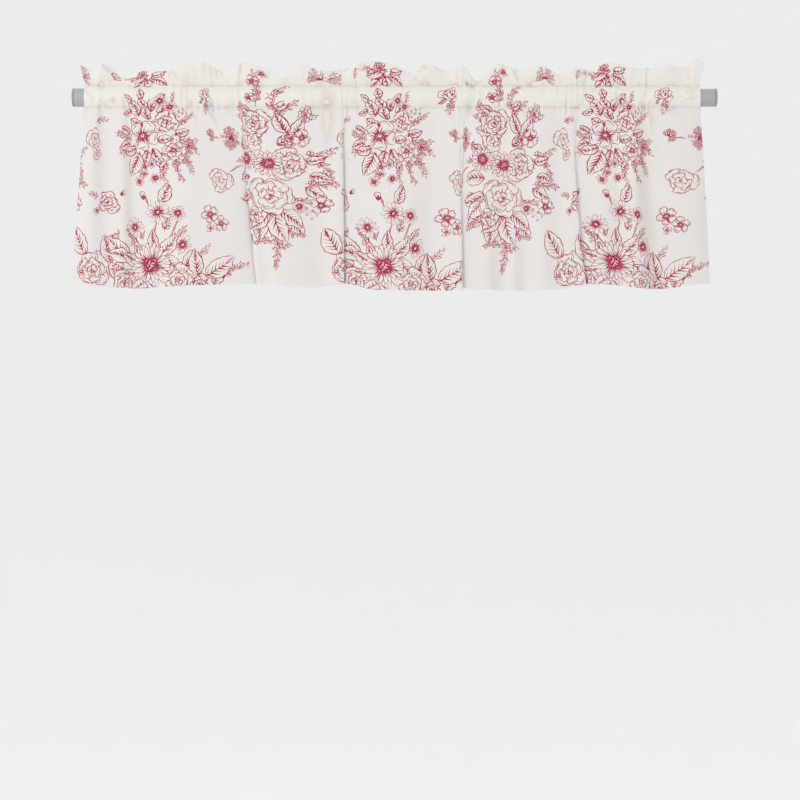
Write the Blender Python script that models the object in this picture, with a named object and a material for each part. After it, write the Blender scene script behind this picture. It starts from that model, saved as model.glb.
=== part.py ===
"""A gathered window valance with a ruffled heading, hung by its pocket on a plain round rod.

The frame is +X to the right, +Y towards the wall and +Z up, with the origin on the rod's axis at the
middle of its length. The cloth is one sheet: a single layer in the skirt, a loop round the rod in the
pocket, and a doubled layer in the heading above it. The tables are in millimetres.
"""

import math
from collections import namedtuple

import bpy
import numpy as np

MM = 0.001

# Rod and end caps, in millimetres
ROD_RADIUS = 16.0
ROD_WALL = 1.2
ROD_OVERALL = 1127.0
ROD_EDGE = 0.3
CAP_WIDTH = 3.5
CAP_EDGE = 1.0
SPIGOT_LENGTH = 12.0
FIT_GAP = 0.3
ROUND_SEGMENTS = 48

# Cloth, in millimetres
SKIRT_THICKNESS = 1.2
HEADING_THICKNESS = 2.6
POCKET_RADIUS = 17.1
STITCH_LOW = -16.8
STITCH_LOW_DEPTH = -11.0
HANG_BACK = 4.0
STITCH_HIGH = 18.4
STITCH_SEAM = 1.6
TUNNEL_TOP_DEPTH = -0.3
SKIRT_ROWS = 6
HEADING_ROWS = 3
STEP_ALONG = 11.0
TURN_LIMIT = 0.6
EAR_REACH = 9.0
LEAN_CURVE = 1.5

# Angles round the rod's axis from the wall side, for the pocket's front and its back, both upwards
FRONT_ANGLES = (216, 198, 177, 154, 128)
BACK_ANGLES = (-92, -66, -38, -8, 22, 55)

# A soft fold is one line down the skirt: where it lies, how far it stands off the middle plane, and the
# height of the hem there. Depths below zero stand towards the room.
Soft = namedtuple("Soft", "x_top x_mid x_hem depth_top depth_mid depth_hem hem")

# A lap is a fold whose edge lies over its neighbour: where the edge lies, the overlap, the height of the
# hem at the edge and past it, and which side is on top, 1 for the left one and -1 for the right one.
Lap = namedtuple("Lap", "x_top x_mid x_hem lap_top lap_mid lap_hem hem hem_past side")

FOLDS = (
    Soft(-542, -553, -565, 1, 3, 6, -325),
    Soft(-521, -530, -533, -2, -3, -3, -329),
    Soft(-502, -498, -495, 2, 4, 2, -332),
    Soft(-482, -479, -481, -1, -2, -4, -333),
    Soft(-461, -456, -451, 2, 6, 8, -334),
    Soft(-428, -425, -419, 0, 0, 1, -333),
    Soft(-379, -377, -376, -3, -7, -8, -330),
    Soft(-332, -323, -316, -2, -4, -5, -328),
    Soft(-290, -280, -268, 0, -1, 0, -326),
    Lap(-268, -257, -241, 0, 9, 14, -328, -326, -1),
    Soft(-232, -215, -201, -2, -6, -8, -330),
    Soft(-174, -171, -162, -1, -5, -6, -332),
    Soft(-127, -124, -120, 1, 1, 0, -331),
    Lap(-90, -89, -87, 3, 14, 22, -328, -327, 1),
    Soft(-50, -47, -40, 0, -1, 0, -336),
    Soft(-11, -10, -8, -2, -6, -8, -337),
    Soft(30, 31, 34, -1, -4, -5, -338),
    Soft(69, 69, 71, 2, 4, 5, -338),
    Lap(113, 116, 120, 0, 6, 20, -338, -334, 1),
    Soft(160, 161, 163, -2, -4, -5, -336),
    Soft(190, 190, 190, 1, 2, 4, -338),
    Soft(207, 207, 207, -1, -2, -3, -338),
    Soft(225, 225, 226, 1, 1, 3, -338),
    Soft(254, 256, 258, -2, -6, -7, -337),
    Soft(284, 286, 290, 0, 0, 0, -335),
    Lap(311, 319, 335, 2, 8, 14, -331, -327, 1),
    Soft(356, 363, 370, -2, -5, -6, -327),
    Soft(384, 388, 395, 0, -1, -3, -330),
    Soft(415, 419, 429, -3, -9, -10, -334),
    Soft(443, 449, 464, 2, 8, 9, -335),
    Soft(468, 475, 489, -1, -2, -2, -333),
    Soft(500, 510, 520, -2, -5, -5, -329),
    Soft(521, 531, 538, -1, -2, -1, -327),
    Soft(534, 544, 552, 1, 3, 4, -325),
)

# The heading's top edge: its height over the rod's axis, and how far the edge leans, towards the room
# where it is below zero. The first and the last row are the ears past the rod pocket's ends.
Ruffle = namedtuple("Ruffle", "x height lean")
RUFFLE = (
    Ruffle(-544, 63, -5),
    Ruffle(-528, 47, 3),
    Ruffle(-514, 58, -5),
    Ruffle(-498, 57, -4),
    Ruffle(-480, 38, 5),
    Ruffle(-440, 47, 1),
    Ruffle(-402, 51, -2),
    Ruffle(-374, 59, -5),
    Ruffle(-328, 60, -4),
    Ruffle(-299, 45, 5),
    Ruffle(-272, 58, -3),
    Ruffle(-206, 48, 3),
    Ruffle(-169, 55, -3),
    Ruffle(-92, 48, 3),
    Ruffle(-66, 58, -5),
    Ruffle(12, 52, 0),
    Ruffle(29, 44, 5),
    Ruffle(53, 57, -4),
    Ruffle(97, 47, 3),
    Ruffle(122, 54, -4),
    Ruffle(146, 27, 6),
    Ruffle(170, 55, -5),
    Ruffle(216, 49, 3),
    Ruffle(262, 55, -3),
    Ruffle(295, 40, 5),
    Ruffle(316, 53, -2),
    Ruffle(342, 48, 3),
    Ruffle(362, 57, -4),
    Ruffle(443, 51, 3),
    Ruffle(477, 57, -3),
    Ruffle(513, 54, 2),
    Ruffle(534, 66, -5),
)

# One lap seen from above, with the part in front first. A point's place from the edge is a share of the
# overlap and a fixed distance; flat is its place from the edge where the lap has opened out.
LapPoint = namedtuple("LapPoint", "share place depth flat")
LAP_SHAPE = (
    LapPoint(-0.5, -11.0, -4.2, -10.0),
    LapPoint(0.0, -3.0, -5.4, -4.5),
    LapPoint(0.0, 0.0, -3.0, -1.5),
    LapPoint(0.0, -2.8, -0.6, 1.5),
    LapPoint(-1.0, 2.8, 0.9, 4.5),
    LapPoint(-1.0, 0.0, 3.3, 7.5),
    LapPoint(-1.0, 3.0, 5.2, 10.5),
    LapPoint(0.0, 9.0, 4.6, 17.0),
)

# The overlap that closes a lap fully, and the share of its depth that is left where it has opened out
LAP_CLOSED = 9.0
LAP_REST_DEPTH = 0.25

CLOTH_COLOUR = (0.83, 0.79, 0.76, 1.0)
ROD_COLOUR = (0.44, 0.44, 0.45, 1.0)
CAP_COLOUR = (0.37, 0.37, 0.38, 1.0)


def clear_scene():
    for old in list(bpy.data.objects):
        bpy.data.objects.remove(old, do_unlink=True)


def material(name, colour, roughness, metallic):
    """A plain Principled material."""
    made = bpy.data.materials.new(name)
    made.use_nodes = True
    shader = made.node_tree.nodes["Principled BSDF"]
    shader.inputs["Base Color"].default_value = colour
    shader.inputs["Roughness"].default_value = roughness
    shader.inputs["Metallic"].default_value = metallic
    return made


def add_object(name, points, faces, finish, smooth_angle):
    """An object from points in millimetres and faces, smooth-shaded up to an angle."""
    mesh = bpy.data.meshes.new(name)
    mesh.from_pydata([tuple(c * MM for c in p) for p in points], [], faces)
    mesh.materials.append(finish)
    mesh.shade_smooth()
    mesh.set_sharp_from_angle(angle=math.radians(smooth_angle))
    made = bpy.data.objects.new(name, mesh)
    bpy.context.collection.objects.link(made)
    return made


def turned(name, profile, finish, hollow=False):
    """A solid turned about the X axis from (x, radius) pairs; a hollow one's profile is a closed ring."""
    points, faces = [], []
    for x, radius in profile:
        for k in range(ROUND_SEGMENTS):
            angle = 2 * math.pi * k / ROUND_SEGMENTS
            points.append((x, radius * math.cos(angle), radius * math.sin(angle)))
    rings = len(profile)
    for ring in range(rings if hollow else rings - 1):
        start, after = ring * ROUND_SEGMENTS, (ring + 1) % rings * ROUND_SEGMENTS
        for k in range(ROUND_SEGMENTS):
            beside = (k + 1) % ROUND_SEGMENTS
            faces.append((start + k, start + beside, after + beside, after + k))
    if not hollow:
        last = (rings - 1) * ROUND_SEGMENTS
        faces.append(tuple(reversed(range(ROUND_SEGMENTS))))
        faces.append(tuple(range(last, last + ROUND_SEGMENTS)))
    return add_object(name, points, faces, finish, 30)


def build_rod(finish):
    """The rod: a plain round tube with its edges broken."""
    end = ROD_OVERALL / 2 - CAP_WIDTH - FIT_GAP
    bore = ROD_RADIUS - ROD_WALL
    right = [
        (end - ROD_EDGE, ROD_RADIUS),
        (end, ROD_RADIUS - ROD_EDGE),
        (end, bore),
    ]
    left = [(-x, r) for x, r in reversed(right)]
    return turned("rod", left + right, finish, hollow=True)


def build_cap(name, side, finish):
    """An end cap: a plain disc with a rounded rim, on a spigot that fits in the rod's bore."""
    face = ROD_OVERALL / 2
    seat = face - CAP_WIDTH
    spigot = ROD_RADIUS - ROD_WALL - FIT_GAP
    profile = [
        (seat - SPIGOT_LENGTH, spigot - CAP_EDGE),
        (seat - SPIGOT_LENGTH + CAP_EDGE, spigot),
        (seat, spigot),
        (seat, ROD_RADIUS),
        (face - CAP_EDGE, ROD_RADIUS),
        (face - CAP_EDGE * 0.3, ROD_RADIUS - CAP_EDGE * 0.3),
        (face, ROD_RADIUS - CAP_EDGE),
    ]
    if side < 0:
        profile = [(-x, r) for x, r in reversed(profile)]
    return turned(name, profile, finish)


def lap_lines(lap):
    """The lines that one lap is made of, from left to right."""
    levels = (
        (lap.x_top, lap.lap_top),
        (lap.x_mid, lap.lap_mid),
        (lap.x_hem, lap.lap_hem),
    )
    width = LAP_SHAPE[-1].flat - LAP_SHAPE[0].flat
    lines = []
    for point in LAP_SHAPE:
        places, depths = [], []
        for x, overlap in levels:
            closed = min(1.0, overlap / LAP_CLOSED)
            lapped = point.share * overlap + point.place
            places.append(x + lap.side * (closed * lapped + (1 - closed) * point.flat))
            depths.append((LAP_REST_DEPTH + (1 - LAP_REST_DEPTH) * closed) * point.depth)
        past = (point.flat - LAP_SHAPE[0].flat) / width
        lines.append(Soft(*places, *depths, lap.hem + (lap.hem_past - lap.hem) * past))
    return lines if lap.side > 0 else lines[::-1]


def fold_lines():
    """Every line down the skirt, from left to right, as one array with a row for each line."""
    lines = []
    for fold in FOLDS:
        lines += lap_lines(fold) if isinstance(fold, Lap) else [fold]
    return np.array(lines, float)


def spline(knots, values, at):
    """A smooth curve through the values at the knots, read at the given places."""
    slopes = np.gradient(values, knots)
    i = np.clip(np.searchsorted(knots, at, side="right") - 1, 0, len(knots) - 2)
    width = knots[i + 1] - knots[i]
    t = (at - knots[i]) / width
    rise = values[i] * (1 + 2 * t) * (1 - t) ** 2 + values[i + 1] * t * t * (3 - 2 * t)
    return rise + width * (slopes[i] * t * (1 - t) ** 2 + slopes[i + 1] * t * t * (t - 1))


def flat_places(lines):
    """Each line's place in the flat cloth, which is the length along the hem up to it."""
    steps = np.hypot(np.diff(lines[:, 2]), np.diff(lines[:, 5]))
    return np.concatenate(([0.0], np.cumsum(steps)))


def stations(knots):
    """Places along the flat cloth where a section is cut: every line, and evenly between far ones."""
    places = [knots[0]]
    for a, b in zip(knots[:-1], knots[1:]):
        count = max(1, round((b - a) / STEP_ALONG))
        places += [a + (b - a) * (k + 1) / count for k in range(count)]
    return np.array(places)


def along_drop(values, share):
    """A curve through values at the top, the middle and the hem of the skirt, read at a share of the drop."""
    top, mid, hem = values
    return top + share * (4 * mid - 3 * top - hem) + share * share * (2 * top + 2 * hem - 4 * mid)


def sideways(x, y):
    """For a path seen from above, the way to its far side at each point, long enough to keep the width."""
    step = np.stack([np.diff(x), np.diff(y)], axis=1)
    step /= np.linalg.norm(step, axis=1)[:, None]
    before, after = np.vstack([step[:1], step]), np.vstack([step, step[-1:]])
    way = before + after
    way /= np.linalg.norm(way, axis=1)[:, None]
    stretch = 1 / np.clip((way * after).sum(1), TURN_LIMIT, 1)
    return -way[:, 1] * stretch, way[:, 0] * stretch


def polar(radius, degrees):
    angle = math.radians(degrees)
    return radius * math.cos(angle), radius * math.sin(angle)


def skirt_sheet(lines, knots, at):
    """The skirt's two faces, as lists of rows from the hem up; each row is an array of points."""
    curves = [spline(knots, lines[:, k], at) for k in range(lines.shape[1])]
    front, back = [], []
    for row in range(SKIRT_ROWS):
        share = 1 - row / (SKIRT_ROWS - 1)
        x = along_drop(curves[0:3], share)
        y = along_drop(curves[3:6], share) + STITCH_LOW_DEPTH + HANG_BACK * share
        z = STITCH_LOW - STITCH_SEAM + (curves[6] - STITCH_LOW + STITCH_SEAM) * share
        dx, dy = sideways(x, y)
        half = SKIRT_THICKNESS / 2
        front.append(np.stack([x - half * dx, y - half * dy, z], axis=1))
        back.append(np.stack([x + half * dx, y + half * dy, z], axis=1))
    return front, back


def heading_sheet(x):
    """The heading's two faces, as lists of rows from the stitch line up to the top edge."""
    table = np.array(RUFFLE, float)
    height = spline(table[:, 0], table[:, 1], np.clip(x, table[0, 0], table[-1, 0]))
    lean = spline(table[:, 0], table[:, 2], np.clip(x, table[0, 0], table[-1, 0]))
    ends = np.zeros(len(x))
    ends[0], ends[-1] = -EAR_REACH, EAR_REACH
    front, back = [], []
    base = STITCH_HIGH + STITCH_SEAM
    for row in range(HEADING_ROWS + 1):
        share = row / HEADING_ROWS
        across = x + ends * share
        y = lean * share ** LEAN_CURVE
        z = base + (height - base) * share
        half = HEADING_THICKNESS / 2
        front.append(np.stack([across, y - half, z], axis=1))
        back.append(np.stack([across, y + half, z], axis=1))
    return front, back


def ring_rows(x, angles, radius):
    """Rows of points round the rod's axis, one row for each angle."""
    rows = []
    for degrees in angles:
        y, z = polar(radius, degrees)
        rows.append(np.stack([x, np.full(len(x), y), np.full(len(x), z)], axis=1))
    return rows


def tunnel_rows(x, stitch_depth):
    """The rod's tunnel inside the pocket: the rows of its front and of its back, from stitch to stitch."""
    low = np.stack([x, stitch_depth, np.full(len(x), STITCH_LOW)], axis=1)
    high = np.stack([x, np.full(len(x), TUNNEL_TOP_DEPTH), np.full(len(x), STITCH_HIGH)], axis=1)
    front = ring_rows(x, FRONT_ANGLES, POCKET_RADIUS)
    back = ring_rows(x, BACK_ANGLES, POCKET_RADIUS)
    return [low] + front + [high], [low] + back + [high]


class Mesh:
    """Points and faces of one solid, built from rows of points that run the cloth's whole width.

    A row that two surfaces share is the same array in both, so its points are added only once.
    """

    def __init__(self):
        self.points, self.faces, self.known = [], [], {}

    def start(self, row):
        """The index of a row's first point; the row is added the first time it is asked for."""
        if id(row) not in self.known:
            self.known[id(row)] = len(self.points)
            self.points += [tuple(p) for p in row]
        return self.known[id(row)]

    def band(self, low, high, inward=False):
        """Quads between two rows."""
        a, b = self.start(low), self.start(high)
        for k in range(len(low) - 1):
            quad = (a + k, a + k + 1, b + k + 1, b + k)
            self.faces.append(quad[::-1] if inward else quad)

    def bands(self, rows, inward=False):
        for low, high in zip(rows[:-1], rows[1:]):
            self.band(low, high, inward)

    def edge(self, face_rows, other_rows, k, inward):
        """The sheet's cut edge at one station, between the rows of its two faces."""
        near = [self.start(row) + k for row in face_rows]
        far = [self.start(row) + k for row in other_rows]
        for i in range(len(near) - 1):
            corners = (near[i], near[i + 1], far[i + 1], far[i])
            kept = tuple(dict.fromkeys(corners))
            self.faces.append(kept[::-1] if inward else kept)


def build_cloth(finish):
    """The valance as one closed solid: skirt, pocket and heading in one sheet, open along the pocket."""
    lines = fold_lines()
    knots = flat_places(lines)
    at = stations(knots)
    x = spline(knots, lines[:, 0], at)
    stitch_depth = spline(knots, lines[:, 3], at) + STITCH_LOW_DEPTH

    skirt_front, skirt_back = skirt_sheet(lines, knots, at)
    heading_front, heading_back = heading_sheet(x)
    outer = POCKET_RADIUS + SKIRT_THICKNESS
    pocket_front = ring_rows(x, FRONT_ANGLES, outer)
    pocket_back = ring_rows(x, BACK_ANGLES, outer)
    tunnel_front, tunnel_back = tunnel_rows(x, stitch_depth)

    mesh = Mesh()
    front = skirt_front + pocket_front + heading_front
    back = skirt_back + pocket_back + heading_back
    mesh.bands(front)
    mesh.bands(back, inward=True)
    mesh.band(front[0], back[0], inward=True)
    mesh.band(front[-1], back[-1])
    mesh.bands(tunnel_front, inward=True)
    mesh.bands(tunnel_back)

    over_front = [skirt_front[-1]] + pocket_front + [heading_front[0]]
    over_back = [skirt_back[-1]] + pocket_back + [heading_back[0]]
    low, high = tunnel_front[0], tunnel_front[-1]
    for k, right in ((0, False), (len(at) - 1, True)):
        mesh.edge(skirt_front, skirt_back, k, right)
        mesh.edge(heading_front, heading_back, k, right)
        mesh.edge(over_front, tunnel_front, k, right)
        mesh.edge(over_back, tunnel_back, k, not right)
        mesh.edge([skirt_front[-1], low], [skirt_back[-1], low], k, right)
        mesh.edge([high, heading_front[0]], [high, heading_back[0]], k, right)
    return add_object("valance_cloth", mesh.points, mesh.faces, finish, 50)


def main():
    clear_scene()
    cloth = material("printed_cloth", CLOTH_COLOUR, 0.9, 0.0)
    rod = material("rod_grey", ROD_COLOUR, 0.45, 0.2)
    cap = material("cap_grey", CAP_COLOUR, 0.55, 0.0)
    build_cloth(cloth)
    build_rod(rod)
    build_cap("rod_cap_left", -1, cap)
    build_cap("rod_cap_right", 1, cap)


main()
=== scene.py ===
"""The looks of a gathered window valance on its rod: printed cloth, stitching, painted rod and end caps.

Sizes are in millimetres unless a name says otherwise, in the frame of the solids: +X to the right, +Y
towards the wall, +Z up, with the origin on the rod's axis at the middle of its length. The cloth is drawn
flat first, with u along its width and v up from the hem, and then hung.
"""

import logging
import math
from dataclasses import dataclass, field
from enum import Enum
from typing import NamedTuple

import bpy
import numpy as np
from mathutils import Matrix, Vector
from mathutils.geometry import delaunay_2d_cdt


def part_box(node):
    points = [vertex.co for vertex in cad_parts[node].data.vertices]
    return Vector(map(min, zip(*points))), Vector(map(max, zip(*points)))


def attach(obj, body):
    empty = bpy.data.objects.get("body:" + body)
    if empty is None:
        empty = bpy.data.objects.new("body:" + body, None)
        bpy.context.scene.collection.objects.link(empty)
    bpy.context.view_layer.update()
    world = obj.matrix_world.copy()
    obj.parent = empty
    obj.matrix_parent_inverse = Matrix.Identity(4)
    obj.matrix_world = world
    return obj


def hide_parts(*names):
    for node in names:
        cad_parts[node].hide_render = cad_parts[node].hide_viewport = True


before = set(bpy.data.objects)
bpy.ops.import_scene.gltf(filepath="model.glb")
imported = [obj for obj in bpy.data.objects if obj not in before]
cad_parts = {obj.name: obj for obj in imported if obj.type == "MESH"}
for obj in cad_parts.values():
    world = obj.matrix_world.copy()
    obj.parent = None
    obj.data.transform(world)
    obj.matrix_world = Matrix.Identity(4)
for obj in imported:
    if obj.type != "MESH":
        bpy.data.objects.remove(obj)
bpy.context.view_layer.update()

log = logging.getLogger("valance")
MM = 0.001


class Ink(Enum):
    """How strongly a mark of the print is inked, from bare cloth to full crimson."""

    BARE = 0.0
    PALE = 0.4
    MID = 0.7
    FULL = 1.0


class Top(Enum):
    """Which side of a lap lies in front."""

    LEFT = 1
    RIGHT = -1


class Motif(Enum):
    """The kinds of flower and leaf in the print."""

    ROSE = "rose"
    OUTLINE_ROSE = "outline_rose"
    DAISY = "daisy"
    SMALL_DAISY = "small_daisy"
    BLOSSOM = "blossom"
    STAR = "star"
    CARNATION = "carnation"
    BUD = "bud"
    LEAF = "leaf"
    FERN = "fern"
    BERRIES = "berries"
    BURST = "burst"
    STEM = "stem"


class Soft(NamedTuple):
    """One soft fold line down the skirt: its place, its depth and the height of the hem there."""

    x_top: float
    x_mid: float
    x_hem: float
    depth_top: float
    depth_mid: float
    depth_hem: float
    hem: float


class Lap(NamedTuple):
    """A fold whose edge lies over its neighbour: the edge's place, the overlap and the hem on both sides."""

    x_top: float
    x_mid: float
    x_hem: float
    lap_top: float
    lap_mid: float
    lap_hem: float
    hem: float
    hem_past: float
    top: Top


class LapPoint(NamedTuple):
    """A point of a lap seen from above: a share of the overlap, a place, a depth and its flat place."""

    share: float
    place: float
    depth: float
    flat: float


class Ruffle(NamedTuple):
    """The heading's top edge at one place: its height over the rod's axis and how far it leans."""

    x: float
    height: float
    lean: float


class Crease(NamedTuple):
    """A soft trough in the hung cloth's front from one point to another; a depth below zero is a ridge."""

    x0: float
    z0: float
    x1: float
    z1: float
    depth: float
    width: float


class Placed(NamedTuple):
    """A motif placed as it hangs: from the repeat's middle, over the rod's axis, and turned."""

    motif: Motif
    across: float
    height: float
    size: float
    turn: float = 0.0


FOLDS = (
    Soft(-542, -553, -565, 1, 3, 6, -325),
    Soft(-521, -530, -533, -2, -3, -3, -329),
    Soft(-502, -498, -495, 2, 4, 2, -332),
    Soft(-482, -479, -481, -1, -2, -4, -333),
    Soft(-461, -456, -451, 2, 6, 8, -334),
    Soft(-428, -425, -419, 0, 0, 1, -333),
    Soft(-379, -377, -376, -3, -7, -8, -330),
    Soft(-332, -323, -316, -2, -4, -5, -328),
    Soft(-306, -284, -268, 0, -1, 0, -326),
    Lap(-268, -257, -241, 0, 9, 14, -328, -326, Top.RIGHT),
    Soft(-232, -215, -201, -2, -6, -8, -330),
    Soft(-174, -171, -162, -1, -5, -6, -332),
    Soft(-127, -124, -120, 1, 1, 0, -331),
    Lap(-90, -89, -87, 0, 14, 22, -328, -327, Top.LEFT),
    Soft(-44, -44, -40, 0, -1, 0, -336),
    Soft(-5, -7, -8, -2, -6, -8, -337),
    Soft(30, 31, 34, -1, -4, -5, -338),
    Soft(69, 69, 71, 2, 4, 5, -338),
    Lap(113, 116, 120, 0, 6, 20, -338, -334, Top.LEFT),
    Soft(160, 161, 163, -2, -4, -5, -336),
    Soft(190, 190, 190, 1, 2, 4, -338),
    Soft(207, 207, 207, -1, -2, -3, -338),
    Soft(225, 225, 226, 1, 1, 3, -338),
    Soft(254, 256, 258, -2, -6, -7, -337),
    Soft(284, 286, 290, 0, 0, 0, -335),
    Lap(311, 319, 335, 0, 8, 14, -331, -327, Top.LEFT),
    Soft(356, 363, 370, -2, -5, -6, -327),
    Soft(384, 388, 395, 0, -1, -3, -330),
    Soft(415, 419, 429, -3, -9, -10, -334),
    Soft(443, 449, 464, 2, 8, 9, -335),
    Soft(468, 475, 489, -1, -2, -2, -333),
    Soft(500, 510, 520, -2, -5, -5, -329),
    Soft(521, 531, 538, -1, -2, -1, -327),
    Soft(534, 544, 552, 1, 3, 4, -325),
)

LAP_SHAPE = (
    LapPoint(-0.5, -11.0, -4.0, -10.0),
    LapPoint(0.0, -2.2, -5.2, -4.5),
    LapPoint(0.0, 0.0, -3.4, -1.5),
    LapPoint(0.0, -2.0, -1.4, 1.5),
    LapPoint(-1.0, 2.2, 0.4, 4.5),
    LapPoint(-1.0, 0.0, 3.3, 7.5),
    LapPoint(-1.0, 3.0, 5.2, 10.5),
    LapPoint(0.0, 9.0, 4.6, 17.0),
)

RUFFLE = (
    Ruffle(-544, 63, -5),
    Ruffle(-528, 47, 3),
    Ruffle(-514, 58, -5),
    Ruffle(-498, 57, -4),
    Ruffle(-480, 38, 5),
    Ruffle(-440, 47, 1),
    Ruffle(-402, 51, -2),
    Ruffle(-374, 59, -5),
    Ruffle(-328, 60, -4),
    Ruffle(-299, 45, 5),
    Ruffle(-272, 58, -3),
    Ruffle(-206, 48, 3),
    Ruffle(-169, 55, -3),
    Ruffle(-92, 48, 3),
    Ruffle(-66, 58, -5),
    Ruffle(12, 52, 0),
    Ruffle(29, 44, 5),
    Ruffle(53, 57, -4),
    Ruffle(97, 47, 3),
    Ruffle(122, 54, -4),
    Ruffle(146, 27, 6),
    Ruffle(170, 55, -5),
    Ruffle(216, 49, 3),
    Ruffle(262, 55, -3),
    Ruffle(295, 40, 5),
    Ruffle(316, 53, -2),
    Ruffle(342, 48, 3),
    Ruffle(362, 57, -4),
    Ruffle(443, 51, 3),
    Ruffle(477, 57, -3),
    Ruffle(505, 54, 2),
    Ruffle(516, 57, 0),
    Ruffle(526, 69, -5),
    Ruffle(534, 61, -5),
)

CREASES = (
    Crease(-353, -14, -342, -58, 1.8, 3.0),
    Crease(-328, -14, -304, -54, 1.8, 3.2),
    Crease(-318, -14, -292, -34, -1.0, 4.0),
    Crease(-543, 34, -520, 22, 1.8, 2.6),
    Crease(-538, 12, -520, -8, 1.8, 3.2),
    Crease(-549, 28, -533, 8, 1.6, 2.8),
    Crease(-508, 55, -482, 33, 2.4, 2.6),
    Crease(-500, 30, -462, 20, 1.5, 2.6),
    Crease(-510, -6, -496, -24, 1.5, 3.2),
    Crease(-492, -2, -484, -17, 1.5, 2.8),
    Crease(-471, -4, -468, -16, 1.2, 2.6),
    Crease(-459, 31, -430, 22, 1.2, 3.0),
    Crease(-388, 40, -394, 18, 1.3, 3.0),
    Crease(-381, 18, -379, -14, 1.5, 3.0),
    Crease(-367, 16, -369, -12, 1.3, 2.8),
    Crease(-300, 44, -284, 20, 1.2, 3.4),
    Crease(-268, 55, -272, 22, 2.0, 2.8),
    Crease(-272, 20, -268, -14, 1.2, 2.8),
    Crease(-186, 34, -190, 18, 1.0, 3.0),
    Crease(-122, 30, -116, -14, 1.1, 3.0),
    Crease(-116, -14, -112, -190, 1.2, 4.5),
    Crease(-92, 44, -96, -10, 1.6, 2.8),
    Crease(-84, 52, -90, 26, 1.4, 2.6),
    Crease(-100, 22, -88, 8, 1.4, 2.4),
    Crease(-60, 52, -66, 22, 1.2, 3.0),
    Crease(54, 56, 29, 21, 2.2, 2.8),
    Crease(97, -18, 110, -58, 1.5, 2.6),
    Crease(108, -18, 118, -50, -0.9, 3.0),
    Crease(96, 34, 99, 14, 1.3, 2.8),
    Crease(108, 22, 106, -12, 1.4, 2.8),
    Crease(129, 22, 154, 5, 2.2, 2.8),
    Crease(146, 26, 151, 8, 2.2, 3.0),
    Crease(132, 6, 152, 2, 1.6, 2.4),
    Crease(208, 56, 214, 38, 1.8, 2.8),
    Crease(214, 38, 228, 14, 1.4, 3.0),
    Crease(262, 22, 264, -12, 1.1, 3.0),
    Crease(290, 30, 284, -14, 1.1, 3.0),
    Crease(337, 54, 334, 8, 2.0, 2.6),
    Crease(312, -20, 352, -8, 1.8, 2.4),
    Crease(352, -8, 342, 22, 1.2, 2.8),
    Crease(380, 30, 389, 6, 1.3, 2.8),
    Crease(389, 4, 391, -16, 1.4, 2.6),
    Crease(443, 52, 441, 16, 2.0, 2.6),
    Crease(441, 16, 432, -14, 1.6, 2.6),
    Crease(447, -16, 458, -92, 1.8, 3.6),
    Crease(520, 66, 520, 24, 2.2, 2.6),
    Crease(530, 17, 500, -4, 2.0, 2.4),
    Crease(529, -1, 492, -18, 1.9, 2.8),
    Crease(505, 26, 470, 14, 0.9, 3.4),
)

REPEAT_TOP = (
    Placed(Motif.BURST, -147, 34, 24, 86),
    Placed(Motif.LEAF, -58, 52, 20, 250),
    Placed(Motif.LEAF, 2, 38, 34, 232),
    Placed(Motif.LEAF, 6, 40, 33, -36),
    Placed(Motif.LEAF, 0, 41, 28, 192),
    Placed(Motif.LEAF, 3, 36, 25, 274),
    Placed(Motif.LEAF, 8, 44, 25, 14),
    Placed(Motif.FERN, -14, 46, 30, 176),
    Placed(Motif.CARNATION, -6, 48, 13, 200),
    Placed(Motif.ROSE, 116, 4, 19, 20),
    Placed(Motif.FERN, 116, -8, 20, -100),
    Placed(Motif.LEAF, 114, -7, 15, -60),
    Placed(Motif.LEAF, 107, -3, 14, -130),
)

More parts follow.
